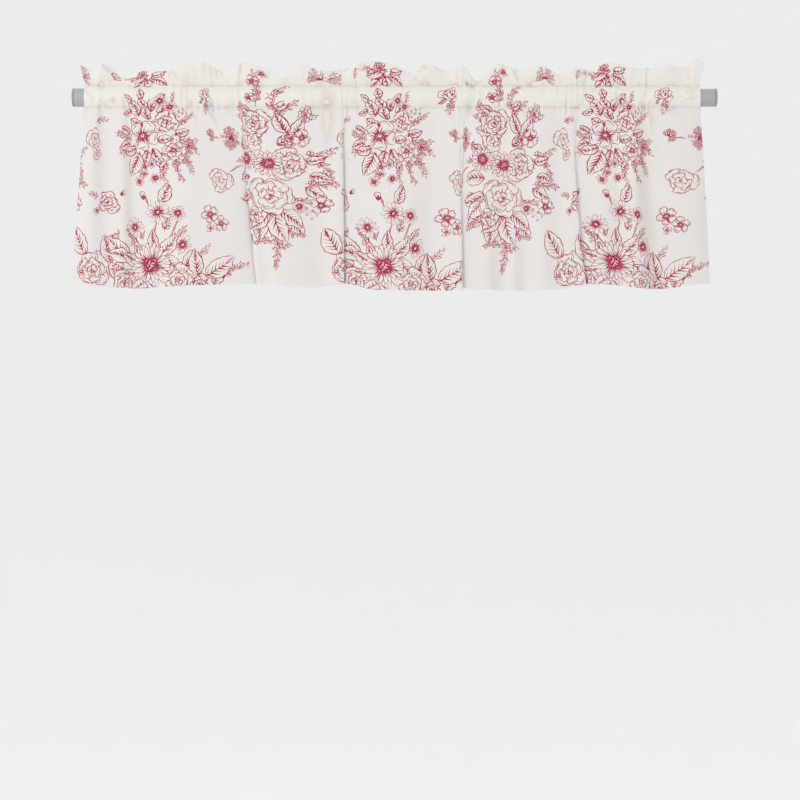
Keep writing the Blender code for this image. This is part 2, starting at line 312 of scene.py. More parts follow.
BOUQUET = (
    Placed(Motif.FERN, -8, -30, 30, 118),
    Placed(Motif.FERN, 30, -22, 34, 62),
    Placed(Motif.FERN, 44, -48, 40, 28),
    Placed(Motif.LEAF, -28, -62, 28, 160),
    Placed(Motif.LEAF, -30, -82, 30, 196),
    Placed(Motif.FERN, 58, -84, 34, -28),
    Placed(Motif.FERN, 50, -106, 40, -48),
    Placed(Motif.BURST, 56, -104, 20, 320),
    Placed(Motif.FERN, 32, -110, 42, -88),
    Placed(Motif.LEAF, 22, -34, 28, 72),
    Placed(Motif.LEAF, 6, -40, 28, 104),
    Placed(Motif.LEAF, 44, -64, 30, 12),
    Placed(Motif.FERN, -4, -100, 40, -96),
    Placed(Motif.FERN, -23, -72, 38, 165),
    Placed(Motif.FERN, -25, -84, 32, 205),
    Placed(Motif.FERN, 44, -70, 44, -8),
    Placed(Motif.BURST, 70, -86, 17, 330),
    Placed(Motif.FERN, 44, -104, 46, -72),
    Placed(Motif.LEAF, -12, -34, 35, 122),
    Placed(Motif.LEAF, -4, -50, 28, 152),
    Placed(Motif.LEAF, -22, -8, 24, 150),
    Placed(Motif.LEAF, -6, -4, 22, 100),
    Placed(Motif.LEAF, 4, -20, 26, 128),
    Placed(Motif.LEAF, -24, -24, 24, 196),
    Placed(Motif.LEAF, 16, -10, 22, 46),
    Placed(Motif.BUD, 9, -22, 18, 84),
    Placed(Motif.SMALL_DAISY, 23, -8, 12),
    Placed(Motif.SMALL_DAISY, 38, -18, 12),
    Placed(Motif.BERRIES, 40, -38, 34, 24),
    Placed(Motif.LEAF, -12, -95, 48, -115),
    Placed(Motif.LEAF, -16, -90, 32, 186),
    Placed(Motif.LEAF, 30, -96, 32, -105),
    Placed(Motif.CARNATION, 43, -94, 29, 300),
    Placed(Motif.ROSE, 33, -45, 26, 40),
    Placed(Motif.BLOSSOM, -6, -68, 29, 15),
    Placed(Motif.LEAF, 12, -90, 30, -58),
    Placed(Motif.LEAF, 2, -92, 28, -96),
    Placed(Motif.LEAF, 18, -78, 26, 10),
    Placed(Motif.STAR, -3, -121, 9),
    Placed(Motif.STAR, 9, -117, 8, 30),
    Placed(Motif.STAR, -4, -134, 8, 15),
    Placed(Motif.SMALL_DAISY, -14, -147, 10),
    Placed(Motif.SMALL_DAISY, 14, -142, 10),
)

TALL_BOUQUET = (
    Placed(Motif.LEAF, -14, -62, 34, 168),
    Placed(Motif.LEAF, 18, -84, 36, 38),
    Placed(Motif.FERN, -22, -58, 38, 140),
    Placed(Motif.FERN, -40, -104, 34, 196),
    Placed(Motif.FERN, 58, -100, 40, 12),
    Placed(Motif.LEAF, -30, -96, 30, 158),
    Placed(Motif.LEAF, 66, -136, 34, -24),
    Placed(Motif.LEAF, 58, -158, 38, -34),
    Placed(Motif.FERN, 58, -150, 46, -8),
    Placed(Motif.LEAF, -34, -204, 38, 218),
    Placed(Motif.FERN, -40, -172, 34, 192),
    Placed(Motif.LEAF, 22, -208, 50, -52),
    Placed(Motif.FERN, 20, -226, 34, -24),
    Placed(Motif.LEAF, -12, -212, 48, -104),
    Placed(Motif.FERN, -14, -40, 38, 128),
    Placed(Motif.FERN, 18, -40, 40, 48),
    Placed(Motif.LEAF, -14, -30, 28, 150),
    Placed(Motif.LEAF, 16, -22, 26, 40),
    Placed(Motif.FERN, 3, -232, 69, -92),
    Placed(Motif.FERN, 1, -252, 29, 190),
    Placed(Motif.FERN, 4, -256, 25, -8),
    Placed(Motif.BURST, -83, -74, 26, 0),
    Placed(Motif.BURST, -78, -72, 24, 200),
    Placed(Motif.FERN, -60, -82, 34, -14),
    Placed(Motif.BURST, -130, -69, 12, 40),
    Placed(Motif.STEM, -104, -73, 22, 172),
    Placed(Motif.OUTLINE_ROSE, -116, -148, 29, 200),
    Placed(Motif.STEM, -92, -134, 34, 24),
    Placed(Motif.FERN, -5, -16, 74, 94),
    Placed(Motif.BLOSSOM, -11, 28, 12, 0),
    Placed(Motif.SMALL_DAISY, 3, 44, 9),
    Placed(Motif.BLOSSOM, -16, -2, 11, 50),
    Placed(Motif.FERN, 10, -4, 36, 52),
    Placed(Motif.ROSE, -41, -17, 13, 0),
    Placed(Motif.FERN, 28, -34, 42, 100),
    Placed(Motif.CARNATION, 63, -32, 21, 60),
    Placed(Motif.LEAF, 38, -72, 43, 62),
    Placed(Motif.LEAF, 34, -66, 41, 112),
    Placed(Motif.FERN, 47, -140, 44, 44),
    Placed(Motif.FERN, 80, -112, 32, -62),
    Placed(Motif.LEAF, 60, -112, 32, 14),
    Placed(Motif.BERRIES, 38, -192, 40, -30),
    Placed(Motif.FERN, 30, -180, 46, -8),
    Placed(Motif.BLOSSOM, 82, -190, 16, 30),
    Placed(Motif.SMALL_DAISY, 47, -192, 13),
    Placed(Motif.FERN, -21, -216, 42, 200),
    Placed(Motif.LEAF, -28, -140, 45, 188),
    Placed(Motif.LEAF, -28, -166, 50, 202),
    Placed(Motif.LEAF, -26, -182, 48, 222),
    Placed(Motif.LEAF, 14, -200, 48, -38),
    Placed(Motif.LEAF, 2, -203, 50, -140),
    Placed(Motif.LEAF, 7, -202, 58, -72),
    Placed(Motif.OUTLINE_ROSE, -16, -74, 22, 80),
    Placed(Motif.CARNATION, 37, -74, 16, 250),
    Placed(Motif.BLOSSOM, 55, -72, 17, 20),
    Placed(Motif.ROSE, -11, -46, 28, 10),
    Placed(Motif.DAISY, -33, -108, 25, 0),
    Placed(Motif.ROSE, 34, -119, 33, 70),
    Placed(Motif.DAISY, 4, -117, 26, 10),
    Placed(Motif.ROSE, 2, -174, 45, 120),
    Placed(Motif.ROSE, -24, -208, 17, 120),
)

GARDEN = (
    Placed(Motif.LEAF, -96, -322, 44, 150),
    Placed(Motif.LEAF, -62, -326, 44, 36),
    Placed(Motif.LEAF, 28, -300, 40, 6),
    Placed(Motif.LEAF, 56, -304, 40, 62),
    Placed(Motif.LEAF, -38, -306, 38, 196),
    Placed(Motif.FERN, -32, -262, 38, 112),
    Placed(Motif.LEAF, 108, -334, 44, 64),
    Placed(Motif.LEAF, -136, -318, 44, 62),
    Placed(Motif.FERN, 32, -252, 34, 42),
    Placed(Motif.FERN, -14, -250, 34, 104),
    Placed(Motif.FERN, 22, -236, 34, 78),
    Placed(Motif.LEAF, -88, -270, 36, 60),
    Placed(Motif.FERN, 66, -290, 44, 40),
    Placed(Motif.FERN, -70, -296, 40, 140),
    Placed(Motif.LEAF, -125, -280, 58, 118),
    Placed(Motif.LEAF, -78, -288, 50, 102),
    Placed(Motif.LEAF, -98, -300, 43, 198),
    Placed(Motif.ROSE, -112, -304, 34, 30),
    Placed(Motif.FERN, -60, -272, 36, 98),
    Placed(Motif.ROSE, -66, -303, 21, 70),
    Placed(Motif.LEAF, -40, -276, 54, 142),
    Placed(Motif.LEAF, -40, -282, 45, 168),
    Placed(Motif.STEM, 8, -272, 68, 86),
    Placed(Motif.STEM, -8, -274, 50, 118),
    Placed(Motif.STEM, 14, -272, 72, 62),
    Placed(Motif.STEM, 14, -278, 44, 26),
    Placed(Motif.STEM, 4, -212, 44, 108),
    Placed(Motif.BUD, -11, -176, 13, 105),
    Placed(Motif.LEAF, 18, -186, 37, 68),
    Placed(Motif.SMALL_DAISY, -30, -226, 20),
    Placed(Motif.SMALL_DAISY, 12, -201, 22),
    Placed(Motif.SMALL_DAISY, 45, -204, 16),
    Placed(Motif.SMALL_DAISY, 54, -260, 20),
    Placed(Motif.LEAF, 9, -270, 41, 98),
    Placed(Motif.LEAF, 14, -276, 45, 50),
    Placed(Motif.LEAF, -19, -286, 32, 108),
    Placed(Motif.LEAF, -16, -294, 45, 152),
    Placed(Motif.LEAF, 24, -278, 50, -44),
    Placed(Motif.LEAF, 80, -318, 52, 96),
    Placed(Motif.LEAF, 92, -316, 65, 32),
    Placed(Motif.FERN, 124, -322, 50, 30),
    Placed(Motif.ROSE, -52, -324, 28, 20),
    Placed(Motif.ROSE, 48, -322, 32, 0),
    Placed(Motif.ROSE, 82, -330, 20, 50),
    Placed(Motif.DAISY, -3, -292, 43, 0),
    Placed(Motif.ROSE, -18, -337, 26, 20),
)

SCATTERED = (
    Placed(Motif.FERN, -94, -176, 21, 165),
    Placed(Motif.BUD, -56, -170, 10, 40),
    Placed(Motif.ROSE, -78, -184, 22, 0),
    Placed(Motif.STAR, -98, -200, 8, 20),
    Placed(Motif.OUTLINE_ROSE, -109, -74, 24, 280),
    Placed(Motif.OUTLINE_ROSE, -100, -100, 14, 250),
    Placed(Motif.FERN, -108, -46, 32, 10),
    Placed(Motif.BLOSSOM, 110, -208, 18, 40),
    Placed(Motif.BLOSSOM, 132, -224, 15, 10),
    Placed(Motif.STAR, 110, -232, 9, 40),
)


def spline(knots: np.ndarray, values: np.ndarray, at: np.ndarray) -> np.ndarray:
    """A smooth curve through values at knots.

    Args:
        knots: Rising places of the values.
        values: The values there.
        at: Places to read the curve at.

    Returns:
        The curve's value at each place.
    """
    slopes = np.gradient(values, knots)
    i = np.clip(np.searchsorted(knots, at, side="right") - 1, 0, len(knots) - 2)
    width = knots[i + 1] - knots[i]
    t = np.clip((at - knots[i]) / width, -0.5, 1.5)
    rise = values[i] * (1 + 2 * t) * (1 - t) ** 2 + values[i + 1] * t * t * (3 - 2 * t)
    return rise + width * (slopes[i] * t * (1 - t) ** 2 + slopes[i + 1] * t * t * (t - 1))


def smooth_step(low: float, high: float, at: np.ndarray) -> np.ndarray:
    """Zero before low, one past high, and smooth between."""
    t = np.clip((at - low) / (high - low), 0, 1)
    return t * t * (3 - 2 * t)


@dataclass
class ClothShape:
    """How the flat cloth hangs: skirt, pocket round the rod, heading, and down its back again.

    v is 0 at the hem, and each of these names the flat place of a line across the cloth.
    """

    stitch_low: float = 319.0
    stitch_high: float = 369.0
    crest: float = 407.0
    back_high: float = 445.0
    end: float = 511.0
    low_height: float = -18.0
    low_depth: float = -11.0
    hang_back: float = 4.0
    high_height: float = 20.0
    high_depth: float = -1.1
    pocket_radius: float = 18.2
    crest_radius: float = 1.1
    lap_closed: float = 9.0
    lap_rest: float = 0.25
    lap_depth: float = 0.42
    lap_gathered: float = 31.0
    lap_edge: int = 2
    ear_reach: float = 9.0
    # The next three set how much shade is painted into the concave places of the cloth.
    flat_curl: float = 0.03
    painted_shade_gain: float = 3.2
    painted_seam_shade_share: float = 0.12
    crease_gain: float = 1.35
    crease_lip: float = 0.5
    lines: np.ndarray = field(init=False)
    knots: np.ndarray = field(init=False)

    def __post_init__(self) -> None:
        """Works out the fold lines and their places in the flat cloth."""
        rows: list[Soft] = []
        for fold in FOLDS:
            rows += self.lap_lines(fold) if isinstance(fold, Lap) else [fold]
        self.lines = np.array(rows, float)
        steps = np.hypot(np.diff(self.lines[:, 2]), np.diff(self.lines[:, 5]))
        self.knots = np.concatenate(([0.0], np.cumsum(steps)))

    @property
    def width(self) -> float:
        """The flat cloth's width, to a whole millimetre."""
        return float(int(self.knots[-1]))

    def lap_lines(self, lap: Lap) -> list[Soft]:
        """The lines that a lap is made of.

        Args:
            lap: The lap's places, overlaps and hem heights.

        Returns:
            Its lines from left to right.
        """
        levels = ((lap.x_top, lap.lap_top), (lap.x_mid, lap.lap_mid), (lap.x_hem, lap.lap_hem))
        width = LAP_SHAPE[-1].flat - LAP_SHAPE[0].flat
        side = lap.top.value
        across = [point.share * lap.lap_hem + point.place for point in LAP_SHAPE]
        depth = [self.lap_depth * point.depth for point in LAP_SHAPE]
        along = np.concatenate([[0.0], np.cumsum(np.hypot(np.diff(across), np.diff(depth)))])
        gathered = self.lap_gathered * (along - along[self.lap_edge]) / along[-1]
        rows = []
        for point, spread in zip(LAP_SHAPE, gathered):
            places, depths = [], []
            for x, overlap in levels:
                closed = min(1.0, overlap / self.lap_closed)
                lapped = point.share * overlap + point.place
                places.append(x + side * (closed * lapped + (1 - closed) * spread))
                depths.append((self.lap_rest + (1 - self.lap_rest) * closed) * self.lap_depth * point.depth)
            past = (point.flat - LAP_SHAPE[0].flat) / width
            rows.append(Soft(*places, *depths, lap.hem + (lap.hem_past - lap.hem) * past))
        return rows if side > 0 else rows[::-1]

    def along_drop(self, top: np.ndarray, mid: np.ndarray, hem: np.ndarray, share: np.ndarray) -> np.ndarray:
        """A curve through values at the skirt's top, middle and hem, read at a share of the drop."""
        bend = share * share * (2 * top + 2 * hem - 4 * mid)
        return top + share * (4 * mid - 3 * top - hem) + bend

    def skirt(self, u: np.ndarray, v: np.ndarray) -> np.ndarray:
        """Points of the skirt's front at flat places."""
        share = 1 - v / self.stitch_low
        c = [spline(self.knots, self.lines[:, k], u) for k in range(7)]
        x = self.along_drop(c[0], c[1], c[2], share)
        y = self.along_drop(c[3], c[4], c[5], share) + self.low_depth + self.hang_back * share
        z = self.low_height + (c[6] - self.low_height) * share
        return np.stack([x, y, z], axis=1)

    def pocket(self, u: np.ndarray, share: np.ndarray, front: bool) -> np.ndarray:
        """Points of the pocket from the lower stitch line to the upper one.

        Args:
            u: Places along the flat cloth.
            share: 0 at the lower stitch line and 1 at the upper one.
            front: Whether it is the pocket's front or its back.

        Returns:
            The points, one row each.
        """
        x = spline(self.knots, self.lines[:, 0], u)
        low_y = spline(self.knots, self.lines[:, 3], u) + self.low_depth + (0 if front else 1.2)
        low_angle = np.arctan2(self.low_height, low_y) + 2 * math.pi
        high_y = self.high_depth if front else -self.high_depth
        high_angle = math.atan2(self.high_height, high_y)
        if not front:
            low_angle = low_angle - 2 * math.pi
        angle = low_angle + (high_angle - low_angle) * share
        low_r, high_r = np.hypot(low_y, self.low_height), math.hypot(high_y, self.high_height)
        reach = self.pocket_radius
        radius = reach + (low_r - reach) * np.exp(-((share / 0.13) ** 2))
        radius = radius + (high_r - reach) * np.exp(-(((1 - share) / 0.15) ** 2))
        radius = radius + self.waves(u, 37.0, 0.5) * np.sin(math.pi * share) ** 2
        return np.stack([x, radius * np.cos(angle), radius * np.sin(angle)], axis=1)

    def waves(self, u: np.ndarray, length: float, height: float) -> np.ndarray:
        """Uneven waves along the cloth, about so long and so high."""
        warped = u + 0.35 * length * np.sin(u / (0.9 * length))
        warped = warped + 0.5 * length * np.sin(u / (2.3 * length) + 1)
        swell = 0.65 + 0.35 * np.sin(u / (1.7 * length) + 2)
        return height * swell * np.sin(2 * math.pi * warped / length)

    def heading(self, u: np.ndarray, v: np.ndarray) -> np.ndarray:
        """Points of the heading, up its front, over the crest and down its back."""
        x = spline(self.knots, self.lines[:, 0], u)
        table = np.array(RUFFLE, float)
        at = np.clip(x, table[0, 0], table[-1, 0])
        height = spline(table[:, 0], table[:, 1], at)
        lean = spline(table[:, 0], table[:, 2], at)
        r = self.crest_radius
        round_half = r * math.pi / 2
        flat = self.crest - round_half - self.stitch_high
        side = np.where(v < self.crest, -1.0, 1.0)
        below = np.abs(v - self.crest)
        s = np.clip(1 - (below - round_half) / flat, 0, 1)
        turn = np.clip((v - self.crest) / r, -math.pi / 2, math.pi / 2)
        in_turn = below < round_half
        puff = np.sin(math.pi * s) * (0.9 + 0.7 * np.sin(u / 19.0) * np.sin(u / 53.0 + 1))
        y_side = lean * s ** 1.5 + side * (r + puff) + self.waves(u, 26.0, 1.1) * s
        y_turn = lean + r * np.sin(turn) + self.waves(u, 26.0, 1.1)
        z_side = self.high_height + (height - r - self.high_height) * s
        z_turn = height - r + r * np.cos(turn)
        y, z = np.where(in_turn, y_turn, y_side), np.where(in_turn, z_turn, z_side)
        out = self.ear_reach * (np.exp(-(((self.width - u) / 9.0) ** 2)) - np.exp(-((u / 9.0) ** 2)))
        return np.stack([x + out * s ** 1.3, y, z], axis=1)

    def gathers(self, u: np.ndarray, v: np.ndarray) -> np.ndarray:
        """The small dimples that the stitching draws up along its two lines, as a depth."""
        low = np.exp(-((np.abs(v - self.stitch_low) / 12.0) ** 1.5))
        high = np.exp(-((np.abs(v - self.stitch_high) / 9.0) ** 1.5))
        uneven = 0.5 + 0.5 * np.sin(u / 31.0 + 2 * np.sin(u / 77.0))
        groove = (0.15 + 0.25 * uneven) * np.exp(-(((v - self.stitch_low) / 1.4) ** 2))
        groove = groove + (0.05 + 0.22 * uneven) * np.exp(-(((v - self.stitch_high) / 1.4) ** 2))
        fine = self.waves(u, 9.5, 0.85) * (0.4 + uneven) * low
        fine = fine + self.waves(u + 70, 10.5, 0.9) * (1.4 - uneven) * high
        between = smooth_step(self.stitch_low, self.stitch_low + 8, v)
        between = between * (1 - smooth_step(self.stitch_high, self.crest, v))
        return fine + self.waves(u + 31, 21.0, 0.7) * between + groove

    def creases(self, points: np.ndarray) -> np.ndarray:
        """The depth of the listed creases at points of the cloth's front."""
        x, z = points[:, 0], points[:, 2]
        depth = np.zeros(len(points))
        for c in CREASES:
            dx, dz = c.x1 - c.x0, c.z1 - c.z0
            length = math.hypot(dx, dz)
            along = ((x - c.x0) * dx + (z - c.z0) * dz) / length
            off = ((x - c.x0) * dz - (z - c.z0) * dx) / length
            past = np.maximum(0, np.maximum(-along, along - length)) / (1.5 * c.width)
            fade = (1 - 0.7 * np.clip(along / length, 0, 1)) * np.exp(-(past ** 2))
            lip = self.crease_lip * np.exp(-((off / c.width - 1.7) ** 2))
            depth += self.crease_gain * c.depth * fade * (np.exp(-((off / c.width) ** 2)) - lip)
        return depth

    def wander(self, u: np.ndarray, v: np.ndarray) -> np.ndarray:
        """How far the two stitch lines stray up and down where the cloth is drawn up."""
        high = np.exp(-(((v - self.stitch_high) / 16.0) ** 2))
        low = np.exp(-(((v - self.stitch_low) / 14.0) ** 2))
        return self.waves(u + 12, 71.0, 1.5) * high + self.waves(u + 140, 58.0, 0.9) * low

    def place(self, u: np.ndarray, v: np.ndarray) -> np.ndarray:
        """Hangs flat places of the cloth's printed side.

        Args:
            u: Places along the cloth.
            v: Places up the cloth from the hem.

        Returns:
            The hung points in millimetres, one row each.
        """
        points = np.zeros((len(u), 3))
        zones = (
            (v <= self.stitch_low, lambda a, b: self.skirt(a, b)),
            ((v > self.stitch_low) & (v <= self.stitch_high), lambda a, b: self.pocket(
                a, (b - self.stitch_low) / (self.stitch_high - self.stitch_low), True)),
            ((v > self.stitch_high) & (v <= self.back_high), lambda a, b: self.heading(a, b)),
            (v > self.back_high, lambda a, b: self.pocket(
                a, (self.end - b) / (self.end - self.back_high), False)),
        )
        for inside, form in zones:
            if inside.any():
                points[inside] = form(u[inside], v[inside])
        front = v < self.crest
        points[:, 1] += np.where(front, 1.0, 0.0) * self.creases(points)
        points[:, 1] += np.where(front, 1.0, -1.0) * self.gathers(u, v)
        points[:, 2] += self.wander(u, v)
        return points

    def hang(self, u: np.ndarray, v: np.ndarray, reach: float = 0.25) -> tuple[np.ndarray, np.ndarray]:
        """Hung points and their outward directions.

        Args:
            u: Places along the cloth.
            v: Places up the cloth.
            reach: How far to look on each side for the slope.

        Returns:
            The points, and the unit normals of the printed side.
        """
        along = self.place(u + reach, v) - self.place(u - reach, v)
        up = self.place(u, v + reach) - self.place(u, v - reach)
        normal = np.cross(along, up)
        normal /= np.maximum(np.linalg.norm(normal, axis=1), 1e-9)[:, None]
        return self.place(u, v), normal

    def painted_shade_share(self, u: np.ndarray, v: np.ndarray, reach: float = 2.2) -> np.ndarray:
        """How much shade to paint on the printed side from how concave it is, from 0 on flats and ridges to
        1 where it is sharply creased.

        Args:
            u: Places along the cloth.
            v: Places up the cloth.
            reach: How far to look on each side.

        Returns:
            The share of painted shade at each place.
        """
        points, normal = self.hang(u, v)
        across = self.place(u + reach, v) + self.place(u - reach, v) - 2 * points
        along = self.place(u, v + reach) + self.place(u, v - reach) - 2 * points
        curl = ((across + self.painted_seam_shade_share * along) * normal).sum(axis=1) / reach ** 2
        return np.clip((curl - self.flat_curl) * self.painted_shade_gain, 0, 1)

    def flat_height(self, height: float) -> float:
        """The flat place v of a height over the rod's axis on the cloth's front."""
        if height <= self.low_height:
            return self.stitch_low * (1 - (height - self.low_height) / (-332.0 - self.low_height))
        if height > self.high_height:
            return self.stitch_high + (height - self.high_height)
        angle = math.pi - math.asin(max(-1.0, min(1.0, height / self.pocket_radius)))
        low = math.atan2(self.low_height, self.low_depth) + 2 * math.pi
        high = math.atan2(self.high_height, self.high_depth)
        share = max(0.0, min(1.0, (low - angle) / (low - high)))
        return self.stitch_low + (self.stitch_high - self.stitch_low) * share


@dataclass
class Spot:
    """A motif's place in the flat cloth: where its own origin goes, its turn and its size."""

    u: float
    v: float
    turn: float
    size: float

    def map(self, points: np.ndarray) -> np.ndarray:
        """Takes points of a motif of unit size to the flat cloth."""
        c, s = math.cos(self.turn), math.sin(self.turn)
        p = np.asarray(points, float) * self.size
        return np.stack([self.u + c * p[:, 0] - s * p[:, 1], self.v + s * p[:, 0] + c * p[:, 1]], axis=1)


@dataclass
class Drawing:
    """Marks in the flat cloth, kept as small polygons; a later one lies over an earlier one."""

    step: float = 2.6
    polygons: list[np.ndarray] = field(default_factory=list)
    inks: list[float] = field(default_factory=list)

    def patch(self, outline: np.ndarray, ink: Ink) -> None:
        """Fills a closed outline."""
        if polygon_area(outline) < 0:
            outline = outline[::-1]
        self.polygons.append(outline)
        self.inks.append(ink.value)

    def stroke(self, path: np.ndarray, width: float, ink: Ink = Ink.FULL,
               thin: tuple[float, float] = (0.3, 0.3), step: float | None = None) -> None:
        """Draws a line that thins towards its ends.

        Args:
            path: The points along its middle.
            width: Its greatest width.
            ink: How strongly it is inked.
            thin: The shares of its length over which it thins, at the start and the end.
            step: The length of its pieces, if not the drawing's own.
        """
        lengths = np.concatenate([[0], np.cumsum(np.linalg.norm(np.diff(path, axis=0), axis=1))])
        total = lengths[-1]
        if total < 0.3:
            return
        count = max(2, int(math.ceil(total / (step or self.step))))
        t = np.linspace(0, 1, count + 1)
        x, y = np.interp(t * total, lengths, path[:, 0]), np.interp(t * total, lengths, path[:, 1])
        way = np.stack([np.gradient(x), np.gradient(y)], axis=1)
        way /= np.maximum(np.linalg.norm(way, axis=1), 1e-9)[:, None]
        full = np.minimum(1, np.minimum(t / max(thin[0], 1e-3), (1 - t) / max(thin[1], 1e-3)))
        half = 0.5 * width * np.maximum(0.22, full)
        left = np.stack([x - way[:, 1] * half, y + way[:, 0] * half], axis=1)
        right = np.stack([x + way[:, 1] * half, y - way[:, 0] * half], axis=1)
        for k in range(count):
            quad = np.array([right[k], right[k + 1], left[k + 1], left[k]])
            if polygon_area(quad) > 0.002:
                self.polygons.append(quad)
                self.inks.append(ink.value)

    def wave(self, repeat: float) -> None:
        """Makes every mark a little uneven, as drawn by hand, and alike in each repeat."""
        points = np.vstack(self.polygons)
        turn = 2 * math.pi / repeat
        u, v = points[:, 0] * turn, points[:, 1] * turn
        across = 0.8 * np.sin(31 * v + 2 * np.sin(17 * u)) + 0.5 * np.sin(67 * v + 11 * u)
        along = 0.8 * np.sin(29 * u + 2 * np.sin(19 * v)) + 0.5 * np.sin(71 * u - 13 * v)
        moved = points + np.stack([across, along], axis=1)
        self.polygons = np.split(moved, np.cumsum([len(p) for p in self.polygons])[:-1])

    def spike(self, foot: np.ndarray, tip: np.ndarray, width: float, ink: Ink = Ink.FULL) -> None:
        """Draws a short shading line that runs out to a point."""
        way = (tip - foot) / max(float(np.linalg.norm(tip - foot)), 1e-9)
        side = np.array([-way[1], way[0]]) * width / 2
        self.polygons.append(np.array([foot - side, tip, foot + side]))
        self.inks.append(ink.value)


def polygon_area(outline: np.ndarray) -> float:
    """The signed area of a closed outline, above zero where it runs counterclockwise."""
    x, y = outline[:, 0], outline[:, 1]
    return float(0.5 * (x * np.roll(y, -1) - np.roll(x, -1) * y).sum())


@dataclass
class FloralPrint:
    """The cloth's print: bouquets, a garden along the hem and scattered flowers, in an engraved style."""

    shape: ClothShape
    repeat: float = 483.5
    first: float = 145.3
    tall_offset: float = 251.4
    garden_offset: float = 4.0
    line: float = 1.2
    fine: float = 0.8
    seed: int = 11
    drawing: Drawing = field(default_factory=Drawing)

    def draw(self) -> Drawing:
        """Draws every repeat that reaches the cloth.

        Returns:
            The finished drawing.
        """
        tables = ((SCATTERED, 0.0), (GARDEN, self.garden_offset), (BOUQUET, 0.0),
                  (TALL_BOUQUET, self.tall_offset), (REPEAT_TOP, 0.0))
        for number in range(-1, 4):
            for table_number, (table, offset) in enumerate(tables):
                for row_number, row in enumerate(table):
                    u = self.first + number * self.repeat + offset + row.across
                    if -60 < u < self.shape.width + 60:
                        rng = np.random.default_rng(self.seed + 1000 * table_number + row_number)
                        spot = Spot(u, self.shape.flat_height(row.height), math.radians(row.turn), row.size)
                        getattr(self, row.motif.value)(spot, rng)
        self.drawing.wave(self.repeat)
        return self.drawing

    def spike(self, spot: Spot, foot: tuple[float, float], tip: tuple[float, float], width: float,
              ink: Ink = Ink.FULL) -> None:
        """A short shading line of a motif, given by the angle and radius of its two ends."""
        ends = np.array([[r * math.cos(a), r * math.sin(a)] for a, r in (foot, tip)])
        self.drawing.spike(*spot.map(ends), width, ink)

    def petal(self, spot: Spot, rng: np.random.Generator, middle: float, half: float, inner: float,
              outer: float, hatches: int, width: float = 1.0) -> None:
        """One broad petal round a flower's middle, with a wavy rim and shading at its foot.

        Args:
            spot: The flower's place.
            rng: Draws the small unevenness.
            middle: The angle of its middle.
            half: Half its angle.
            inner: The radius where it comes out from under the next petals, as a share of the flower's.
            outer: The radius of its rim.
            hatches: How many shading lines rise from its foot.
            width: Its line's width, as a share of the print's.
        """
        corners = 10 if spot.size * outer > 14 else 7
        t = np.linspace(0.1, math.pi - 0.1, corners)
        wobble = 1 + 0.05 * np.sin(4 * t + rng.uniform(0, 6))
        wobble = wobble - 0.1 * np.exp(-(((t - rng.uniform(1.2, 1.9)) / 0.3) ** 2))
        reach = 0.5 * inner + (outer - 0.5 * inner) * np.sin(t) ** 0.5 * wobble
        angle = middle - half * np.cos(t)
        rim = np.stack([reach * np.cos(angle), reach * np.sin(angle)], axis=1)
        foot = 0.3 * inner * np.array([[math.cos(middle), math.sin(middle)]])
        self.drawing.patch(spot.map(np.vstack([rim, foot])), Ink.BARE)
        self.drawing.stroke(spot.map(rim), self.line * width, thin=(0.1, 0.1), step=3.2)
        if spot.size * (outer - inner) > 7:
            turned = middle + half * (np.array([-0.6, -0.1, 0.4]) + rng.uniform(-0.2, 0.3))
            near = inner + (outer - inner) * np.array([0.66, 0.78, 0.7])
            fold = np.stack([near * np.cos(turned), near * np.sin(turned)], axis=1)
            self.drawing.stroke(spot.map(fold), self.line * width, Ink.FULL, step=5)
        for place in np.linspace(-0.85, 0.85, hatches):
            side = abs(place)
            a = middle + half * (place + rng.uniform(-0.08, 0.08))
            stop = inner + (outer - inner) * rng.uniform(0.3, 0.62) * (0.8 + 0.5 * side)
            dark = self.line * width * (1.3 + 1.1 * side * rng.uniform(0.4, 1.0))
            self.spike(spot, (a, inner - 0.03), (a - 0.12 * place, stop), dark)

    def disc(self, spot: Spot, radius: float, ink: Ink, corners: int = 8) -> None:
        """A filled round about a motif's middle."""
        t = np.linspace(0, 2 * math.pi, corners, endpoint=False)
        self.drawing.patch(spot.map(radius * np.stack([np.cos(t), np.sin(t)], axis=1)), ink)

    def rose(self, spot: Spot, rng: np.random.Generator) -> None:
        """A full rose seen from the front, its petals wound in towards the heart."""
        petals = 14 if spot.size > 27 else 11 if spot.size > 18 else 8
        start = rng.uniform(0, 6.28)
        for k in range(petals):
            share = k / petals
            outer = (1 - 0.84 * share) * rng.uniform(0.92, 1.06)
            half = (0.68 + 0.5 * share) * rng.uniform(0.85, 1.15)
            self.petal(spot, rng, start + 2.4 * k, half, max(outer - 0.36, 0.03), outer, 5 - int(3 * share))
        for k in range(2):
            a = rng.uniform(0, 6.28) + np.linspace(0, 2.4, 4)
            curl = (0.08 + 0.07 * k) * np.stack([np.cos(a), np.sin(a)], axis=1)
            self.drawing.stroke(spot.map(curl), self.line * 1.4, step=4)

    def outline_rose(self, spot: Spot, rng: np.random.Generator) -> None:
        """An open rose drawn in light lines."""
        start = rng.uniform(0, 6.28)
        for k in range(10):
            outer = (1 - 0.08 * k) * rng.uniform(0.9, 1.1)
            self.petal(spot, rng, start + 2.4 * k, 0.8 + 0.04 * k, max(outer - 0.34, 0.05), outer, 3,
                       width=0.85)

